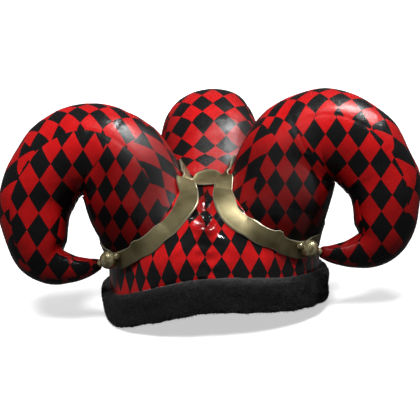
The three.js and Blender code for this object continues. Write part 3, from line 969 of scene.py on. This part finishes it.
class CuffPlush:
    """The cuff: a soft band with a short pile standing on it."""

    columns, around_section = 420, 60
    fibres = 60000

    def __init__(self) -> None:
        self.lumps = Waves(SEED + 40, 30.0)
        self.clumps = Waves(SEED + 41, 6.0)

    def section(self, angle: Array) -> Array:
        """Rings of the band's section: columns by section points by 3."""
        rows = Table(CUFF_PROFILE[:, 0], CUFF_PROFILE[:, 1])
        share = np.concatenate([np.linspace(0, 1, 36), np.linspace(1, 0, self.around_section - 36)])
        outer = np.arange(self.around_section) < 36
        out = np.where(outer, 0.3 + rows(share)[..., 0] * CUFF.thickness, 0.45)
        low = cuff_lift(angle)
        height = low[:, None] + share[None] * CUFF.height
        at = Crown.share_at(height)
        around = np.broadcast_to(angle[:, None], height.shape)
        points = Crown.point(at, around, np.broadcast_to(out, height.shape))
        points[..., 2] = height
        return points

    def surface(self) -> Surface:
        """The band itself, with soft lumps on its outer side."""
        angle = np.linspace(0, FULL_TURN, self.columns, endpoint=False)
        points = self.section(angle)
        centre = points.mean(axis=1, keepdims=True)
        outward = unit(points - centre)
        outer = (np.arange(self.around_section) < 36)[None, :, None]
        lumps = 0.55 * self.lumps(points) + 0.18 * self.clumps(points)
        points = points + np.where(outer, outward * (lumps[..., None] - 0.9), 0)
        points[..., 2] = np.maximum(points[..., 2], 0.3)
        rings = np.concatenate([points, points[:1]], axis=0)
        faces = grid_faces(self.columns + 1, self.around_section, True) % (self.columns * self.around_section)
        return Surface(rings[:-1].reshape(-1, 3), faces)

    def pile(self, band: Surface) -> Surface:
        """Short tapering fibres on the band's outer side, each a thin blade that leans and bends."""
        rng = np.random.default_rng(SEED + 42)
        corners = band.points[band.faces]
        normal = unit(np.cross(corners[:, 2] - corners[:, 0], corners[:, 3] - corners[:, 1]))
        middle = corners.mean(axis=1)
        outward = normal[:, 0] * middle[:, 0] + normal[:, 1] * middle[:, 1]
        if outward.sum() < 0:
            normal, outward = -normal, -outward
        section = np.arange(len(band.faces)) % self.around_section
        area = np.linalg.norm(np.cross(corners[:, 2] - corners[:, 0], corners[:, 3] - corners[:, 1]), axis=1)
        weight = area * ((section < 35) & (middle[:, 2] > 0.8))
        chosen = rng.choice(len(band.faces), self.fibres, p=weight / weight.sum())
        u, v = rng.random((2, self.fibres, 1))
        a, b, c, d = (corners[chosen, k] for k in range(4))
        root = (a * (1 - u) + b * u) * (1 - v) + (d * (1 - u) + c * u) * v
        up = normal[chosen]
        lean = unit(up + rng.normal(scale=0.38, size=up.shape) + 0.35 * np.stack(
            [self.clumps(root), self.clumps(root + 40), self.clumps(root + 80)], axis=-1))
        aside = unit(np.cross(lean, rng.normal(size=up.shape)))
        length = rng.uniform(0.9, 1.9, (self.fibres, 1))
        width = rng.uniform(0.10, 0.17, (self.fibres, 1))
        bend = unit(rng.normal(size=up.shape)) * length * 0.22
        points = np.stack([root - aside * width, root + aside * width,
                           root + lean * length * 0.6 + aside * width * 0.7,
                           root + lean * length + bend], axis=1)
        points[..., 2] = np.maximum(points[..., 2], 0.15)
        faces = np.arange(4 * self.fibres).reshape(-1, 4)
        return Surface(points.reshape(-1, 3), faces)


# The trims


def closed_strip(rings: Array, edge: Array) -> Surface:
    """A thin strip closed all round, with pattern coordinates along and across it.

    Args:
        rings: the strip's sections, each running over its top to the far edge and back below.
        edge: the line whose length counts along the strip.

    Returns:
        The strip. The faces that close its two ends carry no pattern.
    """
    count, sides = rings.shape[:2]
    half = np.arange(sides // 2 - 1)
    first, last = (
        np.stack([base + half, base + half + 1, base + sides - 2 - half, base + sides - 1 - half], axis=-1)
        for base in (0, (count - 1) * sides)
    )
    along = np.concatenate([[0.0], np.cumsum(np.linalg.norm(np.diff(edge, axis=0), axis=1))])
    over = np.linspace(0, TRIM.width, sides // 2)
    over = np.concatenate([over, over[::-1], [0.0]])
    quads = corners(np.stack(np.meshgrid(along, over, indexing="ij"), axis=-1)).reshape(-1, 4, 2)
    faces = np.vstack([grid_faces(count, sides, True), first[:, ::-1], last])
    return Surface(rings.reshape(-1, 3), faces, np.vstack([quads, np.zeros((2 * len(half), 4, 2))]))


class Tape:
    """A flat metallic tape laid on the cloth round a horn's root."""

    steps, across = 900, 13
    far = 30.0

    def __init__(self, bed: Surface, course: Array, wander: int) -> None:
        self.tree = BVHTree.FromPolygons(bed.points.tolist(), bed.faces.tolist())
        self.course = course
        self.wander = Waves(SEED + 60 + wander, 24.0)

    def nearest(self, points: Array) -> tuple[Array, Array]:
        """Nearest places on the cloth and the cloth's normals there."""
        found = [self.tree.find_nearest(Vector(p)) for p in points.reshape(-1, 3).tolist()]
        places = np.array([f[0][:] for f in found]).reshape(points.shape)
        return places, np.array([f[1][:] for f in found]).reshape(points.shape)

    def rise(self, points: Array, out: Array) -> Array:
        """How far the cloth stands over points, along the directions given for them."""
        starts = (points + out * self.far).reshape(-1, 3)
        ways = np.broadcast_to(-out, points.shape).reshape(-1, 3)
        rays = zip(starts.tolist(), ways.tolist())
        hits = [self.tree.ray_cast(Vector(p), Vector(d), 3 * self.far) for p, d in rays]
        return np.array([self.far - h[3] if h[0] else -self.far for h in hits]).reshape(points.shape[:-1])

    @staticmethod
    def smoothed(values: Array, rounds: int) -> Array:
        """Values along a closed line, each replaced some times by the mean of its neighbourhood."""
        for _ in range(rounds):
            values = (np.roll(values, 1, axis=0) + 2 * values + np.roll(values, -1, axis=0)) / 4
        return values

    def bowed(self, rise: Array, share: Array) -> Array:
        """Heights of the tape's sections over their flat ones.

        Each section is a shallow arch that follows the cloth where the cloth bulges, and stays
        straight where the cloth is hollow. It is raised until no cloth comes through.

        Args:
            rise: heights of the cloth over the flat sections, steps by points across.
            share: places across, from -0.5 to 0.5.

        Returns:
            Heights of the tape's under side.
        """
        terms = np.stack([np.ones_like(share), share, share**2], axis=1)
        fit = np.clip(rise, -TRIM.width, TRIM.width) @ np.linalg.pinv(terms).T
        fit[:, 2] = np.clip(fit[:, 2], -3.0, 0.0)
        fit = self.smoothed(fit, 40)
        bow = fit @ terms.T
        short = np.max(rise - bow, axis=1)
        widest = np.max([np.roll(short, k) for k in range(-4, 5)], axis=0)
        return bow + np.maximum(self.smoothed(widest, 12), 0)[:, None]

    def ribbon(self, hidden: Callable[[Array], Array]) -> list[Surface]:
        """The tape's visible stretches.

        The middle line follows its course on the cloth. Each section is a flat strip with thin
        raised edges, laid square to the line and out of the cloth.

        Args:
            hidden: says for points which of them other pieces cover.

        Returns:
            One closed surface for each stretch that is long enough to show.
        """
        count = len(self.course)
        lead = np.vstack([self.course[-2:], self.course, self.course[:3]])
        at = np.linspace(0, count, self.steps, endpoint=False)
        line = centripetal(lead[:, :3], at + 2)
        width = Table(np.arange(len(lead)), lead[:, 3])(at + 2)[..., 0] * TRIM.width
        line, normal = self.nearest(line)
        line, normal = self.smoothed(line, 60), unit(self.smoothed(normal, 260))
        run = unit(np.roll(line, -1, axis=0) - np.roll(line, 1, axis=0))
        over = unit(self.smoothed(np.cross(run, normal), 60))
        normal = unit(np.cross(over, run))
        width = width * (1 + 0.04 * self.wander(line))
        line = line + over * (0.6 * self.wander(line + 30.0))[:, None]
        share = np.linspace(-0.5, 0.5, self.across)
        flat = line[:, None] + over[:, None] * (share[None, :, None] * width[:, None, None])
        out = np.broadcast_to(normal[:, None], flat.shape)
        bed = flat + out * self.bowed(self.rise(flat, out), share)[..., None]
        edge = np.exp(-(((0.5 - np.abs(share)) * TRIM.width / TRIM.edge_width) ** 2))
        top = bed + out * (TRIM.lift + TRIM.thickness + TRIM.edge_rise * edge)[None, :, None]
        under = (bed + out * TRIM.lift * 0.4)[:, ::-1]
        rings = np.concatenate([top, under], axis=1)
        seen = ~hidden(bed[:, self.across // 2] + normal)
        return [closed_strip(rings[run], rings[run, 0]) for run in self.runs(seen)]

    def runs(self, seen: Array) -> list[Array]:
        """Index lists of the stretches that are seen, starting after a hidden place."""
        if seen.all():
            return [np.arange(self.steps)]
        start = int(np.argmin(seen))
        order = (np.arange(self.steps) + start) % self.steps
        cuts = np.flatnonzero(np.diff(seen[order].astype(int))) + 1
        pieces = [part for part in np.split(order, cuts) if seen[part[0]]]
        return [part for part in pieces if len(part) > self.steps // 30]


def bridging_tape(edges: Array) -> Surface:
    """A short tape between two edges, slightly hollow, thin, and closed all round.

    Args:
        edges: rows of X, then Y and Z of the upper edge, then Y and Z of the lower one.

    Returns:
        The tape, with pattern coordinates along and across it.
    """
    count, across, hollow = 160, 21, 2.2
    rows = Table(np.arange(len(edges)), edges)(np.linspace(0, len(edges) - 1, count))
    upper, lower = rows[:, [0, 1, 2]], rows[:, [0, 3, 4]]
    share = np.linspace(0, 1, across)
    flat = upper[:, None] * (1 - share)[None, :, None] + lower[:, None] * share[None, :, None]
    dip = np.zeros_like(flat)
    dip[..., 2] = -hollow * np.sin(math.pi * share)[None] * bump(np.linspace(-1, 1, count), 0.0, 0.75)[:, None]
    inwards = (0.5 - np.abs(share - 0.5)) * TRIM.width / TRIM.edge_width
    raised = TRIM.edge_rise * np.exp(-(inwards**2))[None, :, None]
    normals = grid_normals(flat + dip, False)
    normals = normals * np.sign(normals[..., 2:])
    top = flat + dip + normals * raised
    under = (flat + dip - normals * TRIM.thickness)[:, ::-1]
    return closed_strip(np.concatenate([top, under], axis=1), upper)


def tape_course(side: Side) -> Array:
    """Course of a trim: points near the cloth and the tape's width share, in the frame's axes."""
    if side is Side.BACK:
        half = BACK_TRIM * [CROWN.half_depth, CROWN.half_width, CROWN.height, 1.0]
        mirrored = half[1:-1][::-1] * [1.0, -1.0, 1.0, 1.0]
        rows = np.vstack([half, mirrored])
        return rows[:, [1, 0, 2, 3]]
    out = 1.0 if side is Side.LEFT else -1.0
    return SIDE_TRIM * [out * CROWN.half_width, -CROWN.half_depth, CROWN.height, 1.0]


# The beads


def lathe(profile: Array, centre: Array, axis: Array, sides: int = 72) -> Surface:
    """Surface turned about an axis.

    Args:
        profile: rows of radius and place along the axis, from one pole to the other.
        centre: centre of the piece.
        axis: unit direction of the axis.
        sides: number of points round it.

    Returns:
        Closed surface with pattern coordinates round and along the axis.
    """
    first = unit(np.cross(axis, [0.3, 0.4, 0.87]))
    second = np.cross(axis, first)
    angle = np.linspace(0, FULL_TURN, sides, endpoint=False)
    ring = np.cos(angle)[:, None] * first + np.sin(angle)[:, None] * second
    points = centre + profile[:, 1, None, None] * axis + profile[:, 0, None, None] * ring[None]
    faces = grid_faces(len(profile), sides, True)
    turn = np.linspace(0, FULL_TURN * 8, sides + 1)
    grid = np.stack(np.meshgrid(profile[:, 1], turn, indexing="ij"), axis=-1)
    quads = np.stack([grid[:-1, :-1], grid[:-1, 1:], grid[1:, 1:], grid[1:, :-1]], axis=2).reshape(-1, 4, 2)
    return Surface(points.reshape(-1, 3), faces, quads)


def bead_profile(radius: float, band: float) -> Array:
    """Profile of a round bead with a shallow groove on each side of its middle and small end holes."""
    angle = np.linspace(-math.pi / 2 + 0.10, math.pi / 2 - 0.10, 60)
    grooves = bump(angle, 0.30, 0.05) + bump(angle, -0.30, 0.05)
    out = radius - band * grooves
    rows = np.stack([out * np.cos(angle), out * np.sin(angle)], axis=-1)
    dent = np.array([(0.04 * radius, 0.0)])
    start, end = dent + [[0, -0.82 * radius]], dent + [[0, 0.82 * radius]]
    return np.vstack([start, rows, end])


# Materials


class Value:
    """A socket of a shader graph that can be used in sums, like a number."""

    def __init__(self, graph: "Graph", socket: bpy.types.NodeSocket) -> None:
        self.graph, self.socket = graph, socket

    def _with(self, operation: str, *others: object) -> "Value":
        return self.graph.math(operation, self, *others)

    def __add__(self, other: object) -> "Value":
        return self._with("ADD", other)

    def __radd__(self, other: object) -> "Value":
        return self._with("ADD", other)

    def __sub__(self, other: object) -> "Value":
        return self._with("SUBTRACT", other)

    def __rsub__(self, other: object) -> "Value":
        return self.graph.math("SUBTRACT", other, self)

    def __mul__(self, other: object) -> "Value":
        return self._with("MULTIPLY", other)

    def __rmul__(self, other: object) -> "Value":
        return self._with("MULTIPLY", other)

    def __truediv__(self, other: object) -> "Value":
        return self._with("DIVIDE", other)

    def floor(self) -> "Value":
        """The next whole number below."""
        return self._with("FLOOR")

    def modulo(self, other: float) -> "Value":
        """What is left after taking whole steps."""
        return self._with("FLOORED_MODULO", other)

    def absolute(self) -> "Value":
        """The value without its sign."""
        return self._with("ABSOLUTE")

    def above(self, other: object) -> "Value":
        """1 where the value is over another, or else 0."""
        return self._with("GREATER_THAN", other)

    def ramp(self, low: float, high: float, start: float = 0.0, end: float = 1.0) -> "Value":
        """Smooth change from start at low to end at high."""
        return self.graph.node(
            "ShaderNodeMapRange", {"interpolation_type": "SMOOTHSTEP"},
            **{"Value": self, "From Min": low, "From Max": high, "To Min": start, "To Max": end},
        )


class Graph:
    """Shader graph of one material."""

    def __init__(self, name: str) -> None:
        self.material = bpy.data.materials.new(name)
        self.material.use_nodes = True
        self.tree = self.material.node_tree
        self.shader = self.tree.nodes["Principled BSDF"]

    def node(self, kind: str, settings: dict | None = None, out: str | int = 0, **inputs: object) -> Value:
        """Any node: its settings, its inputs as numbers or values, and the output that is wanted."""
        made = self.tree.nodes.new(kind)
        for name, setting in (settings or {}).items():
            setattr(made, name, setting)
        for name, given in inputs.items():
            self.feed(made.inputs[int(name[1:]) if name[0] == "_" else name], given)
        return Value(self, made.outputs[out])

    def feed(self, socket: bpy.types.NodeSocket, given: object) -> None:
        """Sets a socket to a number or colour, or links it to a value."""
        if isinstance(given, Value):
            self.tree.links.new(given.socket, socket)
        else:
            socket.default_value = given

    def math(self, operation: str, *terms: object) -> Value:
        """One step of arithmetic."""
        inputs = {f"_{i}": t for i, t in enumerate(terms)}
        return self.node("ShaderNodeMath", {"operation": operation}, **inputs)

    def mix(self, factor: object, low: object, high: object) -> Value:
        """Colour between two others."""
        return self.node("ShaderNodeMix", {"data_type": "RGBA"}, 2, _0=factor, _6=low, _7=high)

    def place(self) -> Value:
        """Object coordinates, in metres."""
        return self.node("ShaderNodeTexCoord", None, "Object")

    def noise(self, scale: float, detail: float = 2.0, rough: float = 0.5, at: Value | None = None) -> Value:
        """Soft noise from 0 to 1 with features of about 1 / scale."""
        return self.node(
            "ShaderNodeTexNoise", None, 0,
            **{"Vector": at or self.place(), "Scale": scale, "Detail": detail, "Roughness": rough},
        )

    def split(self, vector: Value) -> tuple[Value, Value, Value]:
        """The three parts of a vector."""
        made = self.tree.nodes.new("ShaderNodeSeparateXYZ")
        self.feed(made.inputs[0], vector)
        return tuple(Value(self, made.outputs[k]) for k in range(3))

    def pattern(self) -> tuple[Value, Value]:
        """The piece's own pattern coordinates, in metres."""
        u, v, _ = self.split(self.node("ShaderNodeUVMap", {"uv_map": "pattern"}))
        return u, v

    def stretched(
        self, scale: tuple[float, float, float], turn: tuple[float, float, float] = (0, 0, 0)
    ) -> Value:
        """Object coordinates, turned and stretched."""
        return self.node("ShaderNodeMapping", None, 0, _0=self.place(), _2=turn, _3=scale)

    def bump(
        self, height: Value, distance: float, strength: float = 1.0, under: Value | None = None
    ) -> Value:
        """Normal of a surface with a height pattern on it, in metres."""
        given = {"Height": height, "Distance": distance, "Strength": strength}
        if under is not None:
            given["Normal"] = under
        return self.node("ShaderNodeBump", None, 0, **given)

    def set(self, **inputs: object) -> None:
        """Feeds the shader's own sockets, with _ for each blank in a name."""
        for name, given in inputs.items():
            self.feed(self.shader.inputs[name.replace("_", " ")], given)


def painted_horn_shade(graph: Graph) -> Value:
    """Brightness of the horns' cloth, with painted shade: darker low down and where the horns bend over.

    The legs of the side horns carry more painted shade, and so does the foot of the rear horn.
    """
    _, y, z = graph.split(graph.place())
    # Painted shade: darker at the rear horn's foot, on the side horns' legs, and low down.
    behind = y.ramp(*REAR_AHEAD) * z.ramp(*REAR_HEIGHTS, REAR_PAINTED_SHADE, 0.0)
    return z.ramp(*LOW_HEIGHTS, LOWEST_PAINTED_SHADE, 1.0) * (1.0 - leg_share(graph) * LEG_PAINTED_SHADE) * (1.0 - behind)


# Painted shade on the horns, a darker strip along the crown's upper front seam, and duller legs: ranges along
# the frame's axes in metres, and how much
LEG_ASIDE, LEG_OUTSIDE, LEG_HEIGHTS = (0.012, 0.046), (0.082, 0.112), (0.135, 0.180)
LEG_PAINTED_SHADE, LEG_DULL = 0.62, 0.6
LOW_HEIGHTS, LOWEST_PAINTED_SHADE = (0.050, 0.185), 0.27
REAR_AHEAD, REAR_HEIGHTS, REAR_PAINTED_SHADE = (-0.030, 0.010), (0.135, 0.172), 0.45
SEAM_ASIDE, SEAM_HEIGHTS, SEAM_AHEAD, SEAM_DARK = (0.0015, 0.013), (0.072, 0.096), (-0.06, 0.0), 0.62


def leg_share(graph: Graph) -> Value:
    """How much a place belongs to a side horn's leg, which is duller and carries painted shade."""
    x, _, z = graph.split(graph.place())
    aside = x.absolute()
    return aside.ramp(*LEG_ASIDE) * aside.ramp(*LEG_OUTSIDE, 1.0, 0.0) * z.ramp(*LEG_HEIGHTS, 1.0, 0.0)


def upper_seam_darkening(graph: Graph) -> Value:
    """Brightness of the crown's cloth: darker in a strip along the upper front seam."""
    x, y, z = graph.split(graph.place())
    strip = x.absolute().ramp(*SEAM_ASIDE, SEAM_DARK, 0.0)
    return 1.0 - strip * z.ramp(*SEAM_HEIGHTS) * y.ramp(*SEAM_AHEAD, 1.0, 0.0)


def harlequin(name: str, gloss: float) -> bpy.types.Material:
    """Satin cloth printed with red and black diamonds.

    The pattern coordinates count diamonds. Their sum and difference run along the diamonds'
    sides. Both are rounded down, and where the rounded values add up to an odd number the cloth
    is red. The weave is fine and slanting, and it brushes the gloss into streaks.

    Args:
        name: material name.
        gloss: 0 for the satin of the horns, 1 for the shiny crown.

    Returns:
        The material.
    """
    graph = Graph(name)
    column, row = graph.pattern()
    wobble = (graph.noise(120.0, 2.0) - 0.5) * 0.05
    rising = column + row + 0.5 + wobble
    falling = column - row - 0.5 + wobble
    cell = rising.floor() + falling.floor()
    red = cell.modulo(2.0)
    shade = graph.noise(45.0, 3.0)
    fine = graph.noise(1.0, 4.0, 0.65, graph.stretched((2600.0, 2600.0, 260.0), (0.5, 0.6, 0.35)))
    tone = shade.ramp(0.3, 0.7, 0.84, 1.08) * fine.ramp(0.2, 0.8, 0.86, 1.10)
    # On the horns the tone takes painted shade: darker low down, on the side horns' legs and at the rear
    # horn's foot. On the crown it is darker in a strip along the upper front seam.
    tone = tone * (upper_seam_darkening(graph) if gloss else painted_horn_shade(graph))
    bright = graph.mix(fine, (0.46, 0.006, 0.007, 1), (0.62, 0.010, 0.011, 1))
    dark = graph.mix(fine, (0.0050, 0.0050, 0.0053, 1), (0.0105, 0.0105, 0.011, 1))
    print_colour = graph.mix(red, dark, bright)
    toned = graph.node("ShaderNodeHueSaturation", None, 0, Color=print_colour, Value=tone)
    slant = graph.noise(1.0, 3.0, 0.6, graph.stretched((3400.0, 500.0, 1500.0), (0.2, 0.75, 0.5)))
    soft = graph.noise(150.0, 3.0)
    creases = graph.bump(soft, 0.0012 if gloss else 0.0007, 0.55)
    weave = graph.bump(slant, 0.00022, 0.55, creases)
    rough = slant.ramp(0.25, 0.75, 0.21 - 0.10 * gloss, 0.32 - 0.18 * gloss)
    if not gloss:
        rough = rough + leg_share(graph) * LEG_DULL
    graph.set(Base_Color=toned, Roughness=rough, Normal=weave)
    graph.set(Specular_IOR_Level=0.42 + 0.10 * gloss, Coat_Weight=0.45 * gloss, Coat_Roughness=0.08)
    return graph.material


def plush_cloth(name: str, fibre: bool) -> bpy.types.Material:
    """Charcoal plush: a dull ground, or the lighter pile that stands on it."""
    graph = Graph(name)
    clumps = graph.noise(330.0, 4.0, 0.6)
    broad = graph.noise(60.0, 3.0)
    pile = (0.014, 0.014, 0.0145, 1), (0.045, 0.045, 0.046, 1)
    ground = (0.007, 0.007, 0.007, 1), (0.020, 0.020, 0.0205, 1)
    colour = graph.mix(clumps * 0.65 + broad * 0.35, *(pile if fibre else ground))
    graph.set(Base_Color=colour, Roughness=clumps.ramp(0.3, 0.7, 0.62, 0.85))
    graph.set(Normal=graph.bump(clumps, 0.0008, 0.8), Specular_IOR_Level=0.35)
    graph.set(Sheen_Weight=0.10, Sheen_Roughness=0.4)
    return graph.material


def brushed_tape(name: str) -> bpy.types.Material:
    """Aged greenish brass tape with fine brushed streaks across it and bright thin edges."""
    graph = Graph(name)
    along, across = graph.pattern()
    streaks = graph.node(
        "ShaderNodeTexNoise", None, 0,
        **{"Vector": graph.node("ShaderNodeCombineXYZ", None, 0, X=along * 5.2, Y=across * 0.3, Z=0.0),
           "Scale": 1.0, "Detail": 3.0, "Roughness": 0.6},
    )
    clouds = graph.noise(38.0, 2.0)
    edge = (across / TRIM.width - 0.5).absolute().ramp(0.44, 0.485)
    tone = streaks * 0.35 + clouds * 0.65
    metal = graph.mix(tone.ramp(0.3, 0.7), (0.120, 0.098, 0.040, 1), (0.36, 0.310, 0.165, 1))
    graph.set(Base_Color=graph.mix(edge, metal, (0.46, 0.43, 0.30, 1)), Metallic=0.72)
    graph.set(Roughness=streaks.ramp(0.2, 0.8, 0.36, 0.52) - edge * 0.08)
    ripple = graph.bump(clouds, 0.0012, 0.35)
    graph.set(Normal=graph.bump(streaks, 0.00016, 0.5, ripple))
    return graph.material


def bead_metal(name: str) -> bpy.types.Material:
    """Polished old brass with soft stains and fine turning marks."""
    graph = Graph(name)
    along, around = graph.pattern()
    turned = graph.node(
        "ShaderNodeTexNoise", None, 0,
        **{"Vector": graph.node("ShaderNodeCombineXYZ", None, 0, X=along * 4.2, Y=around * 0.14, Z=0.0),
           "Scale": 1.0, "Detail": 2.0, "Roughness": 0.6},
    )
    stains = graph.noise(260.0, 4.0, 0.6)
    metal = graph.mix(stains.ramp(0.35, 0.7), (0.30, 0.250, 0.120, 1), (0.80, 0.715, 0.44, 1))
    graph.set(Base_Color=metal, Metallic=0.8, Roughness=turned.ramp(0.2, 0.8, 0.16, 0.30) + stains * 0.08)
    graph.set(Normal=graph.bump(turned, 0.0001, 0.4))
    return graph.material


def studio_floor(name: str) -> bpy.types.Material:
    """Plain pale floor."""
    graph = Graph(name)
    grain = graph.noise(9.0, 2.0)
    graph.set(Base_Color=graph.mix(grain, (0.83, 0.83, 0.83, 1), (0.86, 0.86, 0.86, 1)), Roughness=0.7)
    graph.set(Emission_Color=(1, 1, 1, 1), Emission_Strength=0.55)
    return graph.material


# The scene


@dataclass(frozen=True)
class Shot:
    """The photograph's camera."""

    azimuth: float = 3.5
    elevation: float = 12.0
    roll: float = 4.0
    focal: float = 1100.0 / 420.0
    sensor: float = 36.0
    distance: float = 0.99
    target: tuple[float, float, float] = (0.0, CROWN.axis_back * MM, 0.09)


@dataclass(frozen=True)
class Lamp:
    """One soft light of the studio.

    A lamp can be kept out of reflections, or be seen only in them, as a shaded lamp or a strip
    beside the camera would be.
    """

    name: str
    place: tuple[float, float, float]
    size: float
    power: float
    aim: tuple[float, float, float] = (0.0, -0.04, 0.10)
    lights: bool = True
    reflects: bool = True


LAMPS = (
    Lamp("top", (0.45, -0.30, 1.80), 0.45, 20.0, reflects=False),
    Lamp("front", (-0.20, -1.45, 1.75), 0.60, 46.0, reflects=False),
    Lamp("glint", (1.05, 0.26, 1.80), 0.18, 36.0, lights=False),
    Lamp("crest", (0.02, -0.50, 2.00), 0.12, 3.0, lights=False),
    Lamp("rear", (0.10, 1.50, 1.00), 0.60, 9.0, reflects=False),
    Lamp("backdrop", (0.0, 1.4, 2.4), 2.5, 150.0, (0.0, 5.0, 1.2), reflects=False),
)
WORLD_STRENGTH = 0.06


def set_camera(shot: Shot) -> None:
    """Places the camera from its two angles, its roll and its distance."""
    a, e, r = (math.radians(x) for x in (shot.azimuth, shot.elevation, shot.roll))
    back = Vector((math.sin(a) * math.cos(e), -math.cos(a) * math.cos(e), math.sin(e)))
    up = Vector((-math.sin(a) * math.sin(e), math.cos(a) * math.sin(e), math.cos(e)))
    right = up.cross(back)
    turned = (right * math.cos(r) - up * math.sin(r), up * math.cos(r) + right * math.sin(r), back)
    data = bpy.data.cameras.new("camera")
    data.lens, data.sensor_width = shot.focal * shot.sensor, shot.sensor
    data.clip_start = 0.01
    camera = bpy.data.objects.new("camera", data)
    camera.matrix_world = Matrix(turned).transposed().to_4x4()
    camera.location = Vector(shot.target) + back * shot.distance
    bpy.context.collection.objects.link(camera)
    bpy.context.scene.camera = camera


def set_lights() -> None:
    """Area lamps and a faint even sky."""
    for lamp in LAMPS:
        light = bpy.data.lights.new(lamp.name, "AREA")
        light.shape, light.size, light.energy = "DISK", lamp.size, lamp.power
        made = bpy.data.objects.new(lamp.name, light)
        made.location = lamp.place
        made.rotation_euler = (Vector(lamp.aim) - Vector(lamp.place)).to_track_quat("-Z", "Y").to_euler()
        made.visible_diffuse, made.visible_glossy = lamp.lights, lamp.reflects
        bpy.context.collection.objects.link(made)
    bpy.context.scene.view_settings.view_transform = "Standard"
    world = bpy.data.worlds.new("studio")
    world.use_nodes = True
    sky = world.node_tree.nodes["Background"]
    sky.inputs["Color"].default_value = (1.0, 1.0, 1.0, 1.0)
    sky.inputs["Strength"].default_value = WORLD_STRENGTH
    bpy.context.scene.world = world


def lay_floor(half: float = 40.0, bend: float = 3.0, radius: float = 2.0, rise: float = 6.0) -> None:
    """A wide pale floor that curves up into a backdrop behind the hat."""
    turn = np.linspace(0, math.pi / 2, 48)
    back = np.concatenate([[-half], bend + radius * np.sin(turn), [bend + radius]])
    up = np.concatenate([[0.0], radius * (1 - np.cos(turn)), [rise]])
    side = np.array([-half, half])
    points = np.stack(np.broadcast_arrays(side[None], back[:, None], up[:, None]), axis=-1).reshape(-1, 3)
    data = bpy.data.meshes.new("floor")
    data.from_pydata(points.tolist(), [], grid_faces(len(back), 2, False)[:, ::-1].tolist())
    data.polygons.foreach_set("use_smooth", np.ones(len(data.polygons), bool))
    data.materials.append(studio_floor("floor"))
    floor = bpy.data.objects.new("floor", data)
    bpy.context.collection.objects.link(floor)
    floor.visible_diffuse = False
    floor.visible_glossy = False


class Hat:
    """Builds the hat's visible pieces in place of the CAD's."""

    def __init__(self) -> None:
        self.build = Builder()
        self.horns = {side: Horn(side) for side in Side}
        self.cloth = {side: self.horn_cloth(side) for side in Side}
        self.crown = CrownCloth().surface()
        self.horn_print = harlequin("horn_cloth", 0.0)
        self.crown_print = harlequin("crown_cloth", 1.0)

    def horn_cloth(self, side: Side) -> Surface:
        """A horn's cloth down to where it is sewn to the crown and to the back horn."""
        whole = self.horns[side].surface()
        cloth = trimmed_to(whole, Crown.depth(whole.points), 1.4)
        if side is not Side.BACK:
            cloth = trimmed_to(cloth, self.horns[Side.BACK].depth(cloth.points), 1.4)
        return cloth

    def add_cloth(self) -> None:
        """Crown and horns."""
        made = self.build.mesh("crown_cloth", self.crown, self.crown_print)
        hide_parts("crown")
        for side in Side:
            made = self.build.mesh(f"horn_{side.value}_cloth", self.cloth[side], self.horn_print)
            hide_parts(f"horn_{side.value}")

    def add_cuff(self) -> None:
        """Plush band and its pile."""
        plush = CuffPlush()
        band = plush.surface()
        made = self.build.mesh("cuff_band", band, plush_cloth("plush_ground", False))
        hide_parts("cuff")
        pile = self.build.mesh("cuff_pile", plush.pile(band), plush_cloth("plush_pile", True))

    def add_trims(self) -> None:
        """Metallic tapes round the roots."""
        metal = brushed_tape("trim_metal")
        names = {Side.RIGHT: ("trim_right",), Side.LEFT: ("trim_left",), Side.BACK: ("trim_back",)}
        for number, side in enumerate(Side):
            root, dome = self.horns[side].plain(), CrownCloth().plain()
            bed = trimmed_to(root, Crown.depth(root.points), 1.0)
            bed = bed.joined(trimmed_to(dome, self.horns[side].depth(dome.points), 1.0))
            others = [self.horns[o] for o in Side if o is not side]
            tape = Tape(bed, tape_course(side), number)

            def hidden(points: Array, others: list[Horn] = others) -> Array:
                return np.max([horn.depth(points) for horn in others], axis=0) > 0.6

            stretches = sorted(tape.ribbon(hidden), key=lambda s: -len(s.points))
            LOG.info("trim %s: %d stretches", side.value, len(stretches))
            for name, stretch in zip(names[side], stretches):
                self.lay_tape(name, stretch, metal)
        self.lay_tape("trim_front", bridging_tape(FRONT_TAPE), metal)

    def lay_tape(self, name: str, stretch: Surface, metal: bpy.types.Material) -> None:
        """Puts one stretch of tape in the place of a trim."""
        made = self.build.mesh(f"{name}_tape", stretch, metal)
        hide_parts(name)

    def add_beads(self) -> None:
        """Bell, collar and knob of each horn."""
        metal = bead_metal("bead_metal")
        for side in Side:
            horn = self.horns[side]
            axis = horn.world(horn.towards)
            bell = horn.world(horn.bell)
            places = {
                "bell": (BEAD.bell, 0.25, 0.0),
                "collar": (BEAD.collar, 0.05, -(BEAD.bell + BEAD.collar + BEAD.gap)),
                "knob": (BEAD.knob, 0.05, BEAD.bell + BEAD.knob + BEAD.gap),
            }
            for kind, (radius, band, off) in places.items():
                surface = lathe(bead_profile(radius, band), bell + axis * off, axis)
                made = self.build.mesh(f"{kind}_{side.value}_bead", surface, metal)
                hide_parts(f"{kind}_{side.value}")


def main() -> None:
    """Builds the whole scene."""
    logging.basicConfig(level=logging.INFO)
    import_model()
    set_camera(Shot())
    set_lights()
    lay_floor()
    hat = Hat()
    hat.add_cloth()
    hat.add_cuff()
    hat.add_trims()
    hat.add_beads()


if __name__ == "__main__":
    main()
